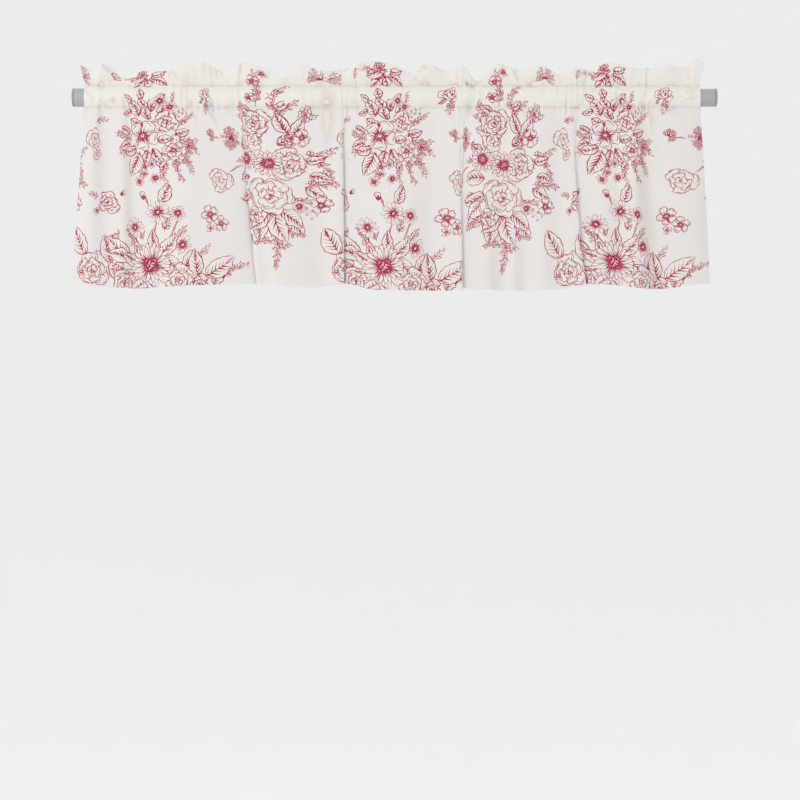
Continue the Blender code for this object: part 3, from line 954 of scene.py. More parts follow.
    def blossom(self, spot: Spot, rng: np.random.Generator) -> None:
        """A five-petalled blossom with a dark eye."""
        start = rng.uniform(0, 6.28)
        big = spot.size > 20
        for k in (0, 2, 4, 1, 3):
            middle = start + 2 * math.pi * k / 5
            self.petal(spot, rng, middle, 0.62, 0.2, rng.uniform(0.88, 1.06), 7 if big else 4)
        for a in np.linspace(0, 2 * math.pi, 13 if big else 7, endpoint=False):
            self.spike(spot, (a, 0.12), (a, rng.uniform(0.24, 0.4)), self.line * 1.5)
        self.disc(spot, 0.15, Ink.FULL)
        self.disc(spot, 0.09, Ink.BARE, 6)
        self.disc(spot, 0.04, Ink.FULL, 5)

    def long_petal(self, spot: Spot, rng: np.random.Generator, angle: float, foot: float, tip: float,
                   half: float, edge: Ink = Ink.FULL) -> None:
        """One narrow ray petal with a dark foot: an inked shape with a bare one inside it."""
        c, s = math.cos(angle), math.sin(angle)
        turn = np.array([[c, s], [-s, c]])
        line = self.fine / spot.size
        for inset, ink in ((0.0, edge), (line, Ink.BARE)):
            r = np.array([foot, foot + 0.5 * (tip - foot), foot + 0.85 * (tip - foot), tip - 1.6 * inset])
            w = np.maximum(np.array([0.5, 1.0, 0.8, 0.0]) * half - np.array([1, 1, 1, 0]) * inset, 0.0)
            sides = np.concatenate([np.stack([r, w], axis=1), np.stack([r[-2::-1], -w[-2::-1]], axis=1)])
            self.drawing.patch(spot.map(sides @ turn), ink)
        reach = foot + (tip - foot) * rng.uniform(0.4, 0.75)
        self.spike(spot, (angle, foot), (angle, reach), self.line * (3.0 if spot.size > 24 else 1.6))

    def daisy(self, spot: Spot, rng: np.random.Generator) -> None:
        """A large daisy with two rows of rays and a stippled button."""
        rays = 19 if spot.size > 30 else 14
        for row in (0, 1):
            for k in range(rays):
                a = 2 * math.pi * (k + 0.5 * row) / rays + rng.uniform(-0.05, 0.05)
                tip = rng.uniform(0.84, 1.0) - 0.14 * row
                self.long_petal(spot, rng, a, 0.25, tip, 1.1 * math.pi * 0.5 / rays)
        self.disc(spot, 0.25, Ink.FULL, 12)
        for k in range(9):
            a, r = 2.4 * k, 0.17 * math.sqrt((k + 0.5) / 9)
            dot = Spot(*spot.map(np.array([[r * math.cos(a), r * math.sin(a)]]))[0], a, spot.size * 0.04)
            self.disc(dot, 1.0, Ink.BARE, 4)

    def small_daisy(self, spot: Spot, rng: np.random.Generator) -> None:
        """A small feathery daisy with a dark heart."""
        for k in range(12):
            a = 2 * math.pi * k / 12 + rng.uniform(-0.12, 0.12)
            self.long_petal(spot, rng, a, 0.22, rng.uniform(0.75, 1.08), 0.17, Ink.MID)
        for k in range(14):
            a = 2 * math.pi * k / 14 + rng.uniform(-0.15, 0.15)
            self.spike(spot, (a, 0.1), (a, rng.uniform(0.42, 0.7)), self.line * 2.0)
        self.disc(spot, 0.26, Ink.FULL, 8)
        self.disc(spot, 0.1, Ink.BARE, 5)

    def star(self, spot: Spot, rng: np.random.Generator) -> None:
        """A small star flower of pointed petals."""
        for k in range(6):
            a = 2 * math.pi * k / 6 + rng.uniform(-0.12, 0.12)
            self.long_petal(spot, rng, a, 0.14, rng.uniform(0.85, 1.05), 0.27)
        self.disc(spot, 0.2, Ink.FULL, 6)
        self.disc(spot, 0.09, Ink.BARE, 5)

    def carnation(self, spot: Spot, rng: np.random.Generator) -> None:
        """A ragged flower with frilled petals and dark creases."""
        for k in range(15):
            share = k / 15
            a = 2.4 * k + rng.uniform(-0.2, 0.2)
            outer, half = (1 - 0.72 * share) * rng.uniform(0.85, 1.08), 0.42 + 0.3 * share
            inner = max(outer - 0.4, 0.05)
            frill = np.linspace(-half, half, 6)
            reach = outer * (1 - 0.17 * (np.arange(6) % 2)) * np.array([0.75, 1, 1, 1, 1, 0.75])
            rim = np.stack([reach * np.cos(a + frill), reach * np.sin(a + frill)], axis=1)
            outline = spot.map(np.vstack([0.5 * inner * np.array([[math.cos(a), math.sin(a)]]), rim]))
            self.drawing.patch(outline, Ink.BARE)
            self.drawing.stroke(np.vstack([outline, outline[:1]]), self.line, thin=(0.1, 0.1), step=4)
            for off in (-0.6, -0.1, 0.5):
                stop = inner + (outer - inner) * rng.uniform(0.45, 0.85)
                self.spike(spot, (a + off * half, inner), (a + off * half, stop), self.line * 1.8)

    def bud(self, spot: Spot, rng: np.random.Generator) -> None:
        """A closed bud on its sepals, pointing along its turn."""
        t = np.linspace(0, 2 * math.pi, 10)[:-1]
        body = np.stack([0.55 - 0.45 * np.cos(t), 0.34 * np.sin(t) * (1.1 - 0.3 * np.cos(t))], axis=1)
        self.drawing.patch(spot.map(body), Ink.BARE)
        self.drawing.stroke(spot.map(np.vstack([body, body[:1]])), self.line, thin=(0.01, 0.01))
        for off in (-0.16, 0.0, 0.15):
            ends = spot.map(np.array([[0.2, off * 0.5], [rng.uniform(0.7, 0.95), off]]))
            self.drawing.spike(*ends, self.line * 1.2)
        for side in (-1, 0, 1):
            path = np.array([[-0.25, 0.0], [0.1, 0.2 * side], [0.42, 0.34 * side]])
            self.drawing.stroke(spot.map(path), self.line * 2.0, thin=(0.4, 0.5), step=6)

    def leaf(self, spot: Spot, rng: np.random.Generator) -> None:
        """A pointed leaf with toothed edges, a midrib and side veins."""
        fat = rng.uniform(0.22, 0.28)
        bow = rng.uniform(-0.12, 0.12)
        t = np.linspace(0, 1, 10)
        swell = fat * np.sin(math.pi * t ** 0.85) ** 0.9
        teeth = 1 + 0.12 * (np.arange(10) % 2)
        spine = bow * np.sin(math.pi * t)
        upper = np.stack([t, spine + swell * teeth], axis=1)
        lower = np.stack([t, spine - swell * teeth], axis=1)
        self.drawing.patch(spot.map(np.vstack([lower, upper[-2:0:-1]])), Ink.BARE)
        self.drawing.stroke(spot.map(upper), self.line, thin=(0.1, 0.15), step=5)
        self.drawing.stroke(spot.map(lower), self.line * 1.3, thin=(0.1, 0.15), step=5)
        midrib = np.stack([t, spine], axis=1)
        self.drawing.stroke(spot.map(midrib), self.line * 1.5, thin=(0.05, 0.6), step=7)
        veins = max(4, min(7, int(spot.size / 5.5)))
        for side in (-1, 1):
            for base in np.linspace(0.06, 0.8, veins):
                stop = min(0.97, base + 0.2)
                spread = fat * math.sin(math.pi * stop ** 0.85) ** 0.9 * rng.uniform(0.7, 0.95)
                ends = np.array([[base, bow * math.sin(math.pi * base)],
                                 [stop, bow * math.sin(math.pi * stop) + side * spread]])
                self.drawing.spike(*spot.map(ends), self.line * (2.4 if side < 0 else 1.5))

    def fern(self, spot: Spot, rng: np.random.Generator) -> None:
        """A thin stem with uneven small leaves to both sides."""
        t = np.linspace(0, 1, 6)
        bend = rng.uniform(-0.2, 0.2)
        stem = np.stack([t, bend * np.sin(math.pi * t)], axis=1)
        self.drawing.stroke(spot.map(stem), self.line, thin=(0.05, 0.5), step=6)
        count = max(8, int(spot.size / 2.8))
        for k in range(count):
            at = 0.12 + 0.88 * k / (count - 1)
            foot = np.array([at, bend * math.sin(math.pi * at)])
            last = k == count - 1
            a = 0.0 if last else (-1 if k % 2 else 1) * rng.uniform(0.45, 1.15)
            size = rng.uniform(6.5, 11.0) / spot.size * (1.1 - 0.3 * at)
            self.leaflet(spot, foot, foot + size * np.array([math.cos(a), math.sin(a)]), rng)

    def leaflet(self, spot: Spot, foot: np.ndarray, tip: np.ndarray, rng: np.random.Generator) -> None:
        """A small pointed leaf: an inked shape with a bare or pale one inside it."""
        way = tip - foot
        side = np.array([-way[1], way[0]]) * rng.uniform(0.26, 0.34)
        middle = foot + 0.45 * way
        inside = Ink.PALE if rng.uniform() < 0.3 else Ink.BARE
        for share, ink in ((1.0, Ink.FULL), (0.5, inside)):
            ends = middle + share ** 0.5 * (foot - middle), middle + share ** 0.5 * (tip - middle)
            loop = np.array([ends[0], middle + share * side, ends[1], middle - share * side])
            self.drawing.patch(spot.map(loop), ink)

    def burst(self, spot: Spot, rng: np.random.Generator) -> None:
        """A feathery spray of thin stems with small dark leaves."""
        for k in range(9):
            a = -2.0 + 4.0 * k / 8 + rng.uniform(-0.14, 0.14)
            reach = rng.uniform(0.75, 1.05) * (1.1 - 0.15 * abs(a))
            self.spike(spot, (a, 0.0), (a, reach), self.line * 1.5)
            for share in (0.35, 0.58, 0.8):
                foot = share * reach * np.array([math.cos(a), math.sin(a)])
                for side in (-1, 1):
                    b = a + side * rng.uniform(0.5, 0.8)
                    end = foot + 5.5 / spot.size * np.array([math.cos(b), math.sin(b)])
                    self.leaflet(spot, foot, end, rng)

    def berries(self, spot: Spot, rng: np.random.Generator) -> None:
        """A thin stem of round berries, each with a shaded heart."""
        t = np.linspace(0, 1, 5)
        stem = np.stack([t, 0.1 * np.sin(math.pi * t)], axis=1)
        self.drawing.stroke(spot.map(stem), self.fine * 1.2, thin=(0.05, 0.5), step=6)
        for k in range(7):
            at = 0.25 + 0.75 * k / 6
            side = -1 if k % 2 else 1
            off = 0.1 * math.sin(math.pi * at) + side * rng.uniform(0.09, 0.16)
            centre = spot.map(np.array([[at, off]]))[0]
            berry = Spot(centre[0], centre[1], rng.uniform(0, 6), rng.uniform(2.0, 2.9))
            for share, ink in ((1.0, Ink.FULL), (0.72, Ink.BARE), (0.4, Ink.FULL)):
                self.disc(berry, share, ink, 6)

    def stem(self, spot: Spot, rng: np.random.Generator) -> None:
        """A bare stem, drawn as two close lines."""
        t = np.linspace(0, 1, 5)
        bend = rng.uniform(-0.1, 0.1)
        for off in (-0.8, 0.8):
            path = np.stack([t, bend * np.sin(math.pi * t) + off / spot.size], axis=1)
            width = self.line if off < 0 else self.fine
            self.drawing.stroke(spot.map(path), width, thin=(0.05, 0.1), step=9)


class Nodes:
    """A short way to add and join the nodes of one material."""

    def __init__(self, name: str) -> None:
        """Starts a new material with its Principled shader."""
        self.material = bpy.data.materials.new(name)
        self.material.use_nodes = True
        self.tree = self.material.node_tree
        self.shader = self.tree.nodes["Principled BSDF"]

    def add(self, kind: str, settings: dict | None = None, **inputs) -> bpy.types.Node:
        """Adds a node.

        Args:
            kind: The node's type name after ShaderNode.
            settings: Properties of the node itself.
            **inputs: Its sockets by name, with spaces as underscores: a value, or a socket to join.

        Returns:
            The node.
        """
        node = self.tree.nodes.new("ShaderNode" + kind)
        for key, value in (settings or {}).items():
            setattr(node, key, value)
        for key, value in inputs.items():
            self.put(node, key, value)
        return node

    def put(self, node: bpy.types.Node, key: str, value: object) -> None:
        """Sets one socket of a node, by name or by number after an x."""
        if key[0] == "x" and key[1:].isdigit():
            socket = node.inputs[int(key[1:])]
        else:
            socket = node.inputs[key.replace("_", " ")]
        if isinstance(value, bpy.types.NodeSocket):
            self.tree.links.new(value, socket)
        else:
            socket.default_value = value

    def math(self, operation: str, a: object, b: object = 0.0, clamp: bool = False) -> bpy.types.NodeSocket:
        """One sum, product or other operation on two numbers."""
        return self.add("Math", {"operation": operation, "use_clamp": clamp}, x0=a, x1=b).outputs[0]

    def noise(self, vector: object, scale: float, detail: float = 2.0,
              roughness: float = 0.5) -> bpy.types.NodeSocket:
        """Smooth noise between about 0 and 1."""
        node = self.add("TexNoise", None, Vector=vector, Scale=scale, Detail=detail, Roughness=roughness)
        return node.outputs[0]

    def mix(self, share: object, a: object, b: object) -> bpy.types.NodeSocket:
        """A colour between two others."""
        node = self.add("Mix", {"data_type": "RGBA"}, x0=share, x6=a, x7=b)
        return node.outputs[2]

    def ramp(self, value: object, low: float, high: float, to_low: float,
             to_high: float) -> bpy.types.NodeSocket:
        """A number taken from one range to another, and kept inside it."""
        node = self.add("MapRange", None, Value=value, From_Min=low, From_Max=high,
                        To_Min=to_low, To_Max=to_high)
        return node.outputs[0]


@dataclass(frozen=True)
class ClothFinish:
    """Plain-woven off-white cloth with a crimson print, and warmer, darker shade painted into its creases
    and laps.
    """

    cloth: tuple[float, float, float, float] = (0.735, 0.695, 0.672, 1.0)
    doubled: tuple[float, float, float, float] = (0.765, 0.727, 0.69, 1.0)
    ink: tuple[float, float, float, float] = (0.36, 0.009, 0.07, 1.0)
    # Painted shade: the warm darker colour that the concave creases and laps are mixed towards.
    painted_shade_colour: tuple[float, float, float, float] = (0.70, 0.605, 0.53, 1.0)
    threads: float = 1800.0
    roughness: float = 0.88

    def material(self, shape: ClothShape) -> bpy.types.Material:
        """Makes the finish.

        Args:
            shape: The cloth, for the places of its doubled parts.

        Returns:
            The material.
        """
        n = Nodes("printed_cloth")
        flat = n.add("UVMap", {"uv_map": "flat"}).outputs[0]
        parts = n.add("SeparateXYZ", None, Vector=flat)
        u, v = parts.outputs[0], parts.outputs[1]
        slubs_u = n.noise(n.add("Mapping", None, Vector=flat, Scale=(14.0, 900.0, 1.0)).outputs[0], 1.0, 3.0)
        slubs_v = n.noise(n.add("Mapping", None, Vector=flat, Scale=(900.0, 14.0, 1.0)).outputs[0], 1.0, 3.0)
        slubs = n.math("ADD", slubs_u, slubs_v)
        blotch = n.noise(flat, 9.0, 2.0)
        doubled = n.ramp(v, shape.stitch_low * MM, (shape.stitch_low + 4) * MM, 0.0, 1.0)
        body = n.mix(doubled, self.cloth, self.doubled)
        # Painted shade: mixes the cloth towards the painted shade colour wherever the hung cloth is concave.
        painted_crease_shade = n.add("Attribute", {"attribute_name": "painted_crease_shade"}).outputs["Fac"]
        body = n.mix(painted_crease_shade, body, self.painted_shade_colour)
        shade = n.math("ADD", n.math("MULTIPLY", slubs, 0.05), n.math("MULTIPLY", blotch, 0.03))
        shade = n.math("ADD", shade, 0.935)
        body = n.add("VectorMath", {"operation": "SCALE"}, x0=body, Scale=shade).outputs[0]
        ink = n.add("Attribute", {"attribute_name": "ink"}).outputs["Fac"]
        worn = n.ramp(n.noise(flat, 260.0, 2.0), 0.3, 0.62, 0.9, 1.0)
        strength = n.math("MULTIPLY", ink, worn, True)
        colour = n.mix(strength, body, self.ink)
        n.put(n.shader, "Base_Color", colour)
        n.put(n.shader, "Roughness", self.roughness)
        n.put(n.shader, "Specular_IOR_Level", 0.2)
        n.put(n.shader, "Sheen_Weight", 0.14)
        n.put(n.shader, "Sheen_Roughness", 0.45)
        warp = n.math("SINE", n.math("MULTIPLY", u, self.threads * 2 * math.pi))
        weft = n.math("SINE", n.math("MULTIPLY", v, self.threads * 2 * math.pi))
        weave = n.math("MULTIPLY", n.math("ADD", n.math("MULTIPLY", warp, weft), 1.0), 0.5)
        height = n.math("ADD", n.math("MULTIPLY", weave, 0.35), slubs)
        bump = n.add("Bump", None, Height=height, Strength=0.22, Distance=0.0003)
        n.put(n.shader, "Normal", bump.outputs[0])
        return n.material


@dataclass(frozen=True)
class ThreadFinish:
    """Twisted cotton thread, a shade warmer than the cloth."""

    colour: tuple[float, float, float, float] = (0.75, 0.71, 0.665, 1.0)
    roughness: float = 0.7

    def material(self) -> bpy.types.Material:
        """Makes the finish and returns the material."""
        n = Nodes("cotton_thread")
        place = n.add("TexCoord").outputs["Object"]
        shade = n.ramp(n.noise(place, 400.0, 2.0), 0.3, 0.7, 0.93, 1.04)
        n.put(n.shader, "Base_Color", n.add("VectorMath", {"operation": "SCALE"}, x0=self.colour[:3],
                                              Scale=shade).outputs[0])
        n.put(n.shader, "Roughness", self.roughness)
        n.put(n.shader, "Specular_IOR_Level", 0.3)
        stretched = n.add("Mapping", None, Vector=place, Scale=(2600.0, 900.0, 900.0)).outputs[0]
        twist = n.noise(stretched, 1.0, 1.0)
        bump = n.add("Bump", None, Height=twist, Strength=0.3, Distance=0.0001)
        n.put(n.shader, "Normal", bump.outputs[0])
        return n.material


@dataclass(frozen=True)
class PaintFinish:
    """Satin grey paint with a faint orange-peel texture."""

    colour: tuple[float, float, float, float] = (0.375, 0.375, 0.385, 1.0)
    roughness: float = 0.42

    def material(self) -> bpy.types.Material:
        """Makes the finish and returns the material."""
        n = Nodes("rod_paint")
        place = n.add("TexCoord").outputs["Object"]
        drift = n.noise(n.add("Mapping", None, Vector=place, Scale=(6.0, 40.0, 40.0)).outputs[0], 1.0, 3.0)
        shade = n.ramp(drift, 0.2, 0.8, 0.94, 1.05)
        n.put(n.shader, "Base_Color", n.add("VectorMath", {"operation": "SCALE"}, x0=self.colour[:3],
                                              Scale=shade).outputs[0])
        n.put(n.shader, "Roughness", n.ramp(n.noise(place, 160.0), 0.3, 0.7, self.roughness - 0.05,
                                             self.roughness + 0.07))
        peel = n.noise(place, 900.0, 2.0)
        bump = n.add("Bump", None, Height=peel, Strength=0.12, Distance=0.0002)
        n.put(n.shader, "Normal", bump.outputs[0])
        return n.material


@dataclass(frozen=True)
class PlasticFinish:
    """Moulded matte grey plastic."""

    colour: tuple[float, float, float, float] = (0.30, 0.30, 0.31, 1.0)
    roughness: float = 0.55

    def material(self) -> bpy.types.Material:
        """Makes the finish and returns the material."""
        n = Nodes("cap_plastic")
        place = n.add("TexCoord").outputs["Object"]
        shade = n.ramp(n.noise(place, 60.0, 3.0), 0.2, 0.8, 0.95, 1.05)
        n.put(n.shader, "Base_Color", n.add("VectorMath", {"operation": "SCALE"}, x0=self.colour[:3],
                                              Scale=shade).outputs[0])
        n.put(n.shader, "Roughness", self.roughness)
        grain = n.noise(place, 1500.0, 2.0)
        bump = n.add("Bump", None, Height=grain, Strength=0.2, Distance=0.0002)
        n.put(n.shader, "Normal", bump.outputs[0])
        return n.material


@dataclass(frozen=True)
class BackdropFinish:
    """Even pale paper for the floor and backdrop."""

    colour: tuple[float, float, float, float] = (0.95, 0.955, 0.95, 1.0)

    def material(self) -> bpy.types.Material:
        """Makes the finish and returns the material."""
        n = Nodes("backdrop_paper")
        n.put(n.shader, "Base_Color", self.colour)
        n.put(n.shader, "Roughness", 0.95)
        n.put(n.shader, "Specular_IOR_Level", 0.1)
        return n.material


def link(name: str, mesh: bpy.types.Mesh) -> bpy.types.Object:
    """Puts a mesh in the scene as a new object."""
    made = bpy.data.objects.new(name, mesh)
    bpy.context.scene.collection.objects.link(made)
    return made


@dataclass
class Valance:
    """The printed cloth as one closed thin sheet."""

    shape: ClothShape
    thickness: float = 0.6
    hem_depth: float = 27.0
    side_hem: float = 13.0
    soft_step: float = 8.0
    turn_weight: float = 1.3
    ghost: float = 0.12
    print_tolerance: float = 0.1
    rows: tuple[tuple[float, float, float], ...] = (
        (0.0, 3.0, 1.5), (3.0, 27.0, 8.0), (27.0, 273.0, 16.0), (273.0, 319.0, 4.8), (319.0, 369.0, 4.0),
        (369.0, 405.2, 4.6), (405.2, 408.8, 1.2), (408.8, 445.0, 12.0), (445.0, 511.0, 7.0))

    def columns(self, step: float, weight: float) -> np.ndarray:
        """Places along the cloth, closer together where it turns.

        Args:
            step: The spacing where it is straight.
            weight: How many columns each radian of turning adds.

        Returns:
            The places.
        """
        fine = np.linspace(0, self.shape.width, 6000)
        hung = self.shape.skirt(fine, np.full(len(fine), 20.0))
        heading = np.unwrap(np.arctan2(np.gradient(hung[:, 1]), np.gradient(hung[:, 0])))
        density = 1 / step + weight * np.abs(np.gradient(heading, fine))
        count = np.concatenate([[0], np.cumsum((density[1:] + density[:-1]) / 2 * np.diff(fine))])
        number = int(round(count[-1]))
        return np.interp(np.linspace(0, count[-1], number + 1), count, fine)

    def levels(self, coarse: float = 1.0) -> np.ndarray:
        """Places up the cloth, closer together where it turns; coarse widens every step."""
        found = [0.0]
        for low, high, step in self.rows:
            count = max(1, round((high - low) / (step * coarse)))
            found += list(low + (high - low) * np.arange(1, count + 1) / count)
        return np.array(found)

    def printed_side(self, drawing: Drawing) -> tuple[np.ndarray, np.ndarray, np.ndarray]:
        """Cuts the printed side into triangles along every mark of the print.

        Args:
            drawing: The print's marks.

        Returns:
            Flat points, triangles, and each triangle's ink.
        """
        us, vs = self.columns(self.soft_step, self.turn_weight), self.levels()
        width, end = self.shape.width, self.shape.end
        marks = []
        for outline, ink in zip(drawing.polygons, drawing.inks):
            low, high = outline.min(axis=0), outline.max(axis=0)
            if high[0] > 0 and low[0] < width and high[1] > 0 and low[1] < end:
                marks.append((outline, ink))
        points, edges = self.visible_outlines(marks)
        corners = len(points)
        sheet = np.array([(0.0, 0.0), (width, 0.0), (width, end), (0.0, end)])
        grid = np.stack(np.meshgrid(us, vs, indexing="ij"), axis=-1).reshape(-1, 2)
        points = np.vstack([points, sheet, grid])
        edges = edges + [(corners + k, corners + (k + 1) % 4) for k in range(4)]
        flat, triangles = triangulated(points, edges)
        middle = flat[triangles].mean(axis=1)
        kept = (middle > 0).all(axis=1) & (middle < (width, end)).all(axis=1)
        triangles, middle = triangles[kept], middle[kept]
        return flat, triangles, self.cover(middle, marks)

    def visible_outlines(self, marks: list[tuple[np.ndarray, float]]) -> tuple[
            np.ndarray, list[tuple[int, int]]]:
        """The lines where the ink changes, without what lies hidden under other marks.

        Args:
            marks: The marks' outlines and inks, from the lowest to the uppermost.

        Returns:
            Flat points, and the pairs of them that a line joins.
        """
        points = np.vstack([outline for outline, _ in marks])
        edges, first = [], 0
        for outline, _ in marks:
            count = len(outline)
            edges += [(first + k, first + (k + 1) % count) for k in range(count)]
            first += count
        flat, triangles = triangulated(points, edges)
        ink = self.cover(flat[triangles].mean(axis=1), marks)
        sides = np.vstack([triangles[:, [0, 1]], triangles[:, [1, 2]], triangles[:, [2, 0]]])
        sides = np.sort(sides, axis=1)
        levels = np.tile(ink, 3)
        order = np.lexsort((sides[:, 1], sides[:, 0]))
        sides, levels = sides[order], levels[order]
        paired = (sides[1:] == sides[:-1]).all(axis=1) & (levels[1:] != levels[:-1])
        return straightened(flat, sides[1:][paired], self.print_tolerance)

    def cover(self, middle: np.ndarray, marks: list[tuple[np.ndarray, float]]) -> np.ndarray:
        """The ink of the last mark that covers each place.

        Args:
            middle: Flat places, one row each.
            marks: The marks' outlines and inks, from the lowest to the uppermost.

        Returns:
            The ink at each place.
        """
        cell = 4.0
        ink = np.zeros(len(middle))
        across = int(self.shape.width / cell) + 1
        up = int(self.shape.end / cell) + 1
        column = np.clip((middle[:, 0] / cell).astype(int), 0, across - 1)
        number = column * up + np.clip((middle[:, 1] / cell).astype(int), 0, up - 1)
        order = np.argsort(number, kind="stable")
        starts = np.searchsorted(number[order], np.arange(across * up + 1))
        for outline, level in marks:
            low, high = (outline.min(axis=0) / cell).astype(int), (outline.max(axis=0) / cell).astype(int)
            columns = range(max(low[0], 0), min(high[0], across - 1) + 1)
            v0, v1 = min(max(low[1], 0), up - 1), min(high[1], up - 1)
            near = np.concatenate([order[starts[c * up + v0]:starts[c * up + v1 + 1]] for c in columns])
            x, y = middle[near, 0], middle[near, 1]
            crossings = np.zeros(len(near), int)
            for (ax, ay), (bx, by) in zip(outline, np.roll(outline, -1, axis=0)):
                if ay != by:
                    crossings += ((ay > y) != (by > y)) & (x < ax + (bx - ax) * (y - ay) / (by - ay))
            ink[near[crossings % 2 == 1]] = level
        return ink

    def wrong_side(self, border: np.ndarray) -> tuple[np.ndarray, np.ndarray]:
        """Cuts the unprinted side into larger triangles with the same border points.

        Args:
            border: The border's flat points in order round the cloth.

        Returns:
            Flat points, which start with the border's, and triangles.
        """
        us, vs = self.columns(self.soft_step * 1.5, self.turn_weight * 0.7), self.levels(1.8)
        inside = np.stack(np.meshgrid(us[1:-1], vs[1:-1], indexing="ij"), axis=-1).reshape(-1, 2)
        count = len(border)
        return triangulated(np.vstack([border, inside]), [(k, (k + 1) % count) for k in range(count)])

    def layer(self, u: np.ndarray, v: np.ndarray) -> np.ndarray:
        """The sheet's thickness: double in the turned-up hem and in the side hems of the skirt."""
        hem = 1 - smooth_step(self.hem_depth - 0.6, self.hem_depth + 0.6, v)
        edge = np.minimum(u, self.shape.width - u)
        side = 1 - smooth_step(self.side_hem - 0.6, self.side_hem + 0.6, edge)
        side = side * (v < self.shape.stitch_low)
        return self.thickness * (1 + 0.9 * np.maximum(hem, side))

    def build(self, drawing: Drawing) -> bpy.types.Object:
        """Makes the cloth.

        Args:
            drawing: The print's marks.

        Returns:
            The cloth's object, with its ink and its two maps.
        """
        flat, triangles, ink = self.printed_side(drawing)
        used, triangles = np.unique(triangles, return_inverse=True)
        flat, triangles = flat[used], triangles.reshape(-1, 3)
        border = border_loop(triangles)
        flat_back, back = self.wrong_side(flat[border])
        front_points, front_normals = self.shape.hang(flat[:, 0], flat[:, 1])
        back_points, back_normals = self.shape.hang(flat_back[:, 0], flat_back[:, 1])
        back_points -= back_normals * self.layer(flat_back[:, 0], flat_back[:, 1])[:, None]

        count = len(flat)
        near = {tuple(np.round(p, 3)): i for i, p in enumerate(flat_back)}
        mates = [near[tuple(np.round(p, 3))] + count for p in flat[border]]
        rim = []
        for k in range(len(border)):
            a, b = border[k], border[(k + 1) % len(border)]
            c, d = mates[(k + 1) % len(border)], mates[k]
            rim += [(b, a, d), (b, d, c)]
        faces = np.vstack([triangles, back[:, ::-1] + count, np.array(rim)])
        points = np.vstack([front_points, back_points]) * MM
        normals = np.vstack([front_normals, -back_normals])
        places = np.vstack([flat, flat_back])

        mesh = bpy.data.meshes.new("valance_printed_cloth")
        mesh.from_pydata(points, [], faces.tolist())
        corner = faces.reshape(-1)
        strength = np.concatenate([np.repeat(ink, 3), self.show_through(flat, triangles, ink, flat_back)[
            back[:, ::-1].reshape(-1)], np.zeros(3 * len(rim))])
        mesh.attributes.new("ink", "FLOAT", "CORNER").data.foreach_set("value", strength.astype(np.float32))
        # Painted shade for the concave creases of the printed side; the wrong side gets none.
        painted_crease_shade = np.concatenate([self.shape.painted_shade_share(flat[:, 0], flat[:, 1]), np.zeros(len(flat_back))])
        mesh.attributes.new("painted_crease_shade", "FLOAT", "POINT").data.foreach_set("value", painted_crease_shade.astype(np.float32))
        self.add_maps(mesh, places[corner], len(triangles), len(back))
        mesh.shade_smooth()
        mesh.normals_split_custom_set([tuple(v) for v in normals[corner]])
        log.info("cloth: %d points, %d triangles, %d of them inked", len(points), len(faces),
                 int((ink > 0).sum()))
        return link("valance_printed_cloth", mesh)

    def show_through(self, flat: np.ndarray, triangles: np.ndarray, ink: np.ndarray,
                     at: np.ndarray) -> np.ndarray:
        """The faint print that shows on the wrong side.

        Args:
            flat: The printed side's flat points.
            triangles: Its triangles.
            ink: The triangles' ink.
            at: Flat points of the wrong side.

        Returns:
            The ink at each of those points.
        """
        cell = 5.0
        size = (int(self.shape.width / cell) + 2, int(self.shape.end / cell) + 2)
        a, b, c = (flat[triangles[:, k]] for k in range(3))
        ab, ac = b - a, c - a
        area = 0.5 * np.abs(ab[:, 0] * ac[:, 1] - ab[:, 1] * ac[:, 0])
        middle = ((a + b + c) / 3 / cell).astype(int)
        total, inked = np.zeros(size), np.zeros(size)
        np.add.at(total, (middle[:, 0], middle[:, 1]), area)
        np.add.at(inked, (middle[:, 0], middle[:, 1]), area * ink)
        share = inked / np.maximum(total, 1e-6)
        cells = np.clip((at / cell).astype(int), 0, np.array(size) - 1)
        return self.ghost * share[cells[:, 0], cells[:, 1]]

    def add_maps(self, mesh: bpy.types.Mesh, places: np.ndarray, front: int, back: int) -> None:
        """Adds the flat map in metres, and the one that the surface is baked through.

        Args:
            mesh: The cloth's mesh.
            places: The flat place of each face corner.
            front: How many triangles are on the printed side.
            back: How many are on the wrong side.
        """
        mesh.uv_layers.new(name="flat").data.foreach_set("uv", (places * MM).astype(np.float32).reshape(-1))
        width, end = self.shape.width, self.shape.end
        margin, half = 6.0, width / 2
        scale = 1 / (2 * end + 4 * margin)
        middle = places.reshape(-1, 3, 2).mean(axis=1)
        upper = np.repeat(middle[:, 0] > half, 3)
        u = np.where(upper, places[:, 0] - half, places[:, 0]) + margin
        v = np.where(upper, places[:, 1] + end + 2 * margin, places[:, 1]) + margin
        rest = slice(3 * front, None)
        left = half + 3 * margin
        small = (1 / scale - left - margin) / end
        u[rest] = left + places[rest, 1] * small
        v[rest] = margin + places[rest, 0] * small
        rim = slice(3 * (front + back), None)
        v[rim] += width * small + margin
        baked = np.stack([u, v], axis=1) * scale
        mesh.uv_layers.new(name="OFBake").data.foreach_set("uv", baked.astype(np.float32).reshape(-1))


def triangulated(points: np.ndarray, edges: list[tuple[int, int]]) -> tuple[np.ndarray, np.ndarray]:
    """Joins flat points into triangles that keep to the given edges.

    Args:
        points: The flat points, one row each.
        edges: The pairs of points that an edge joins.

    Returns:
        The points, with one more at each crossing, and the triangles.
    """
    found = delaunay_2d_cdt([Vector(p) for p in points], edges, [], 0, 1e-4, False)
    return np.round([tuple(p) for p in found[0]], 3), np.array(found[2])


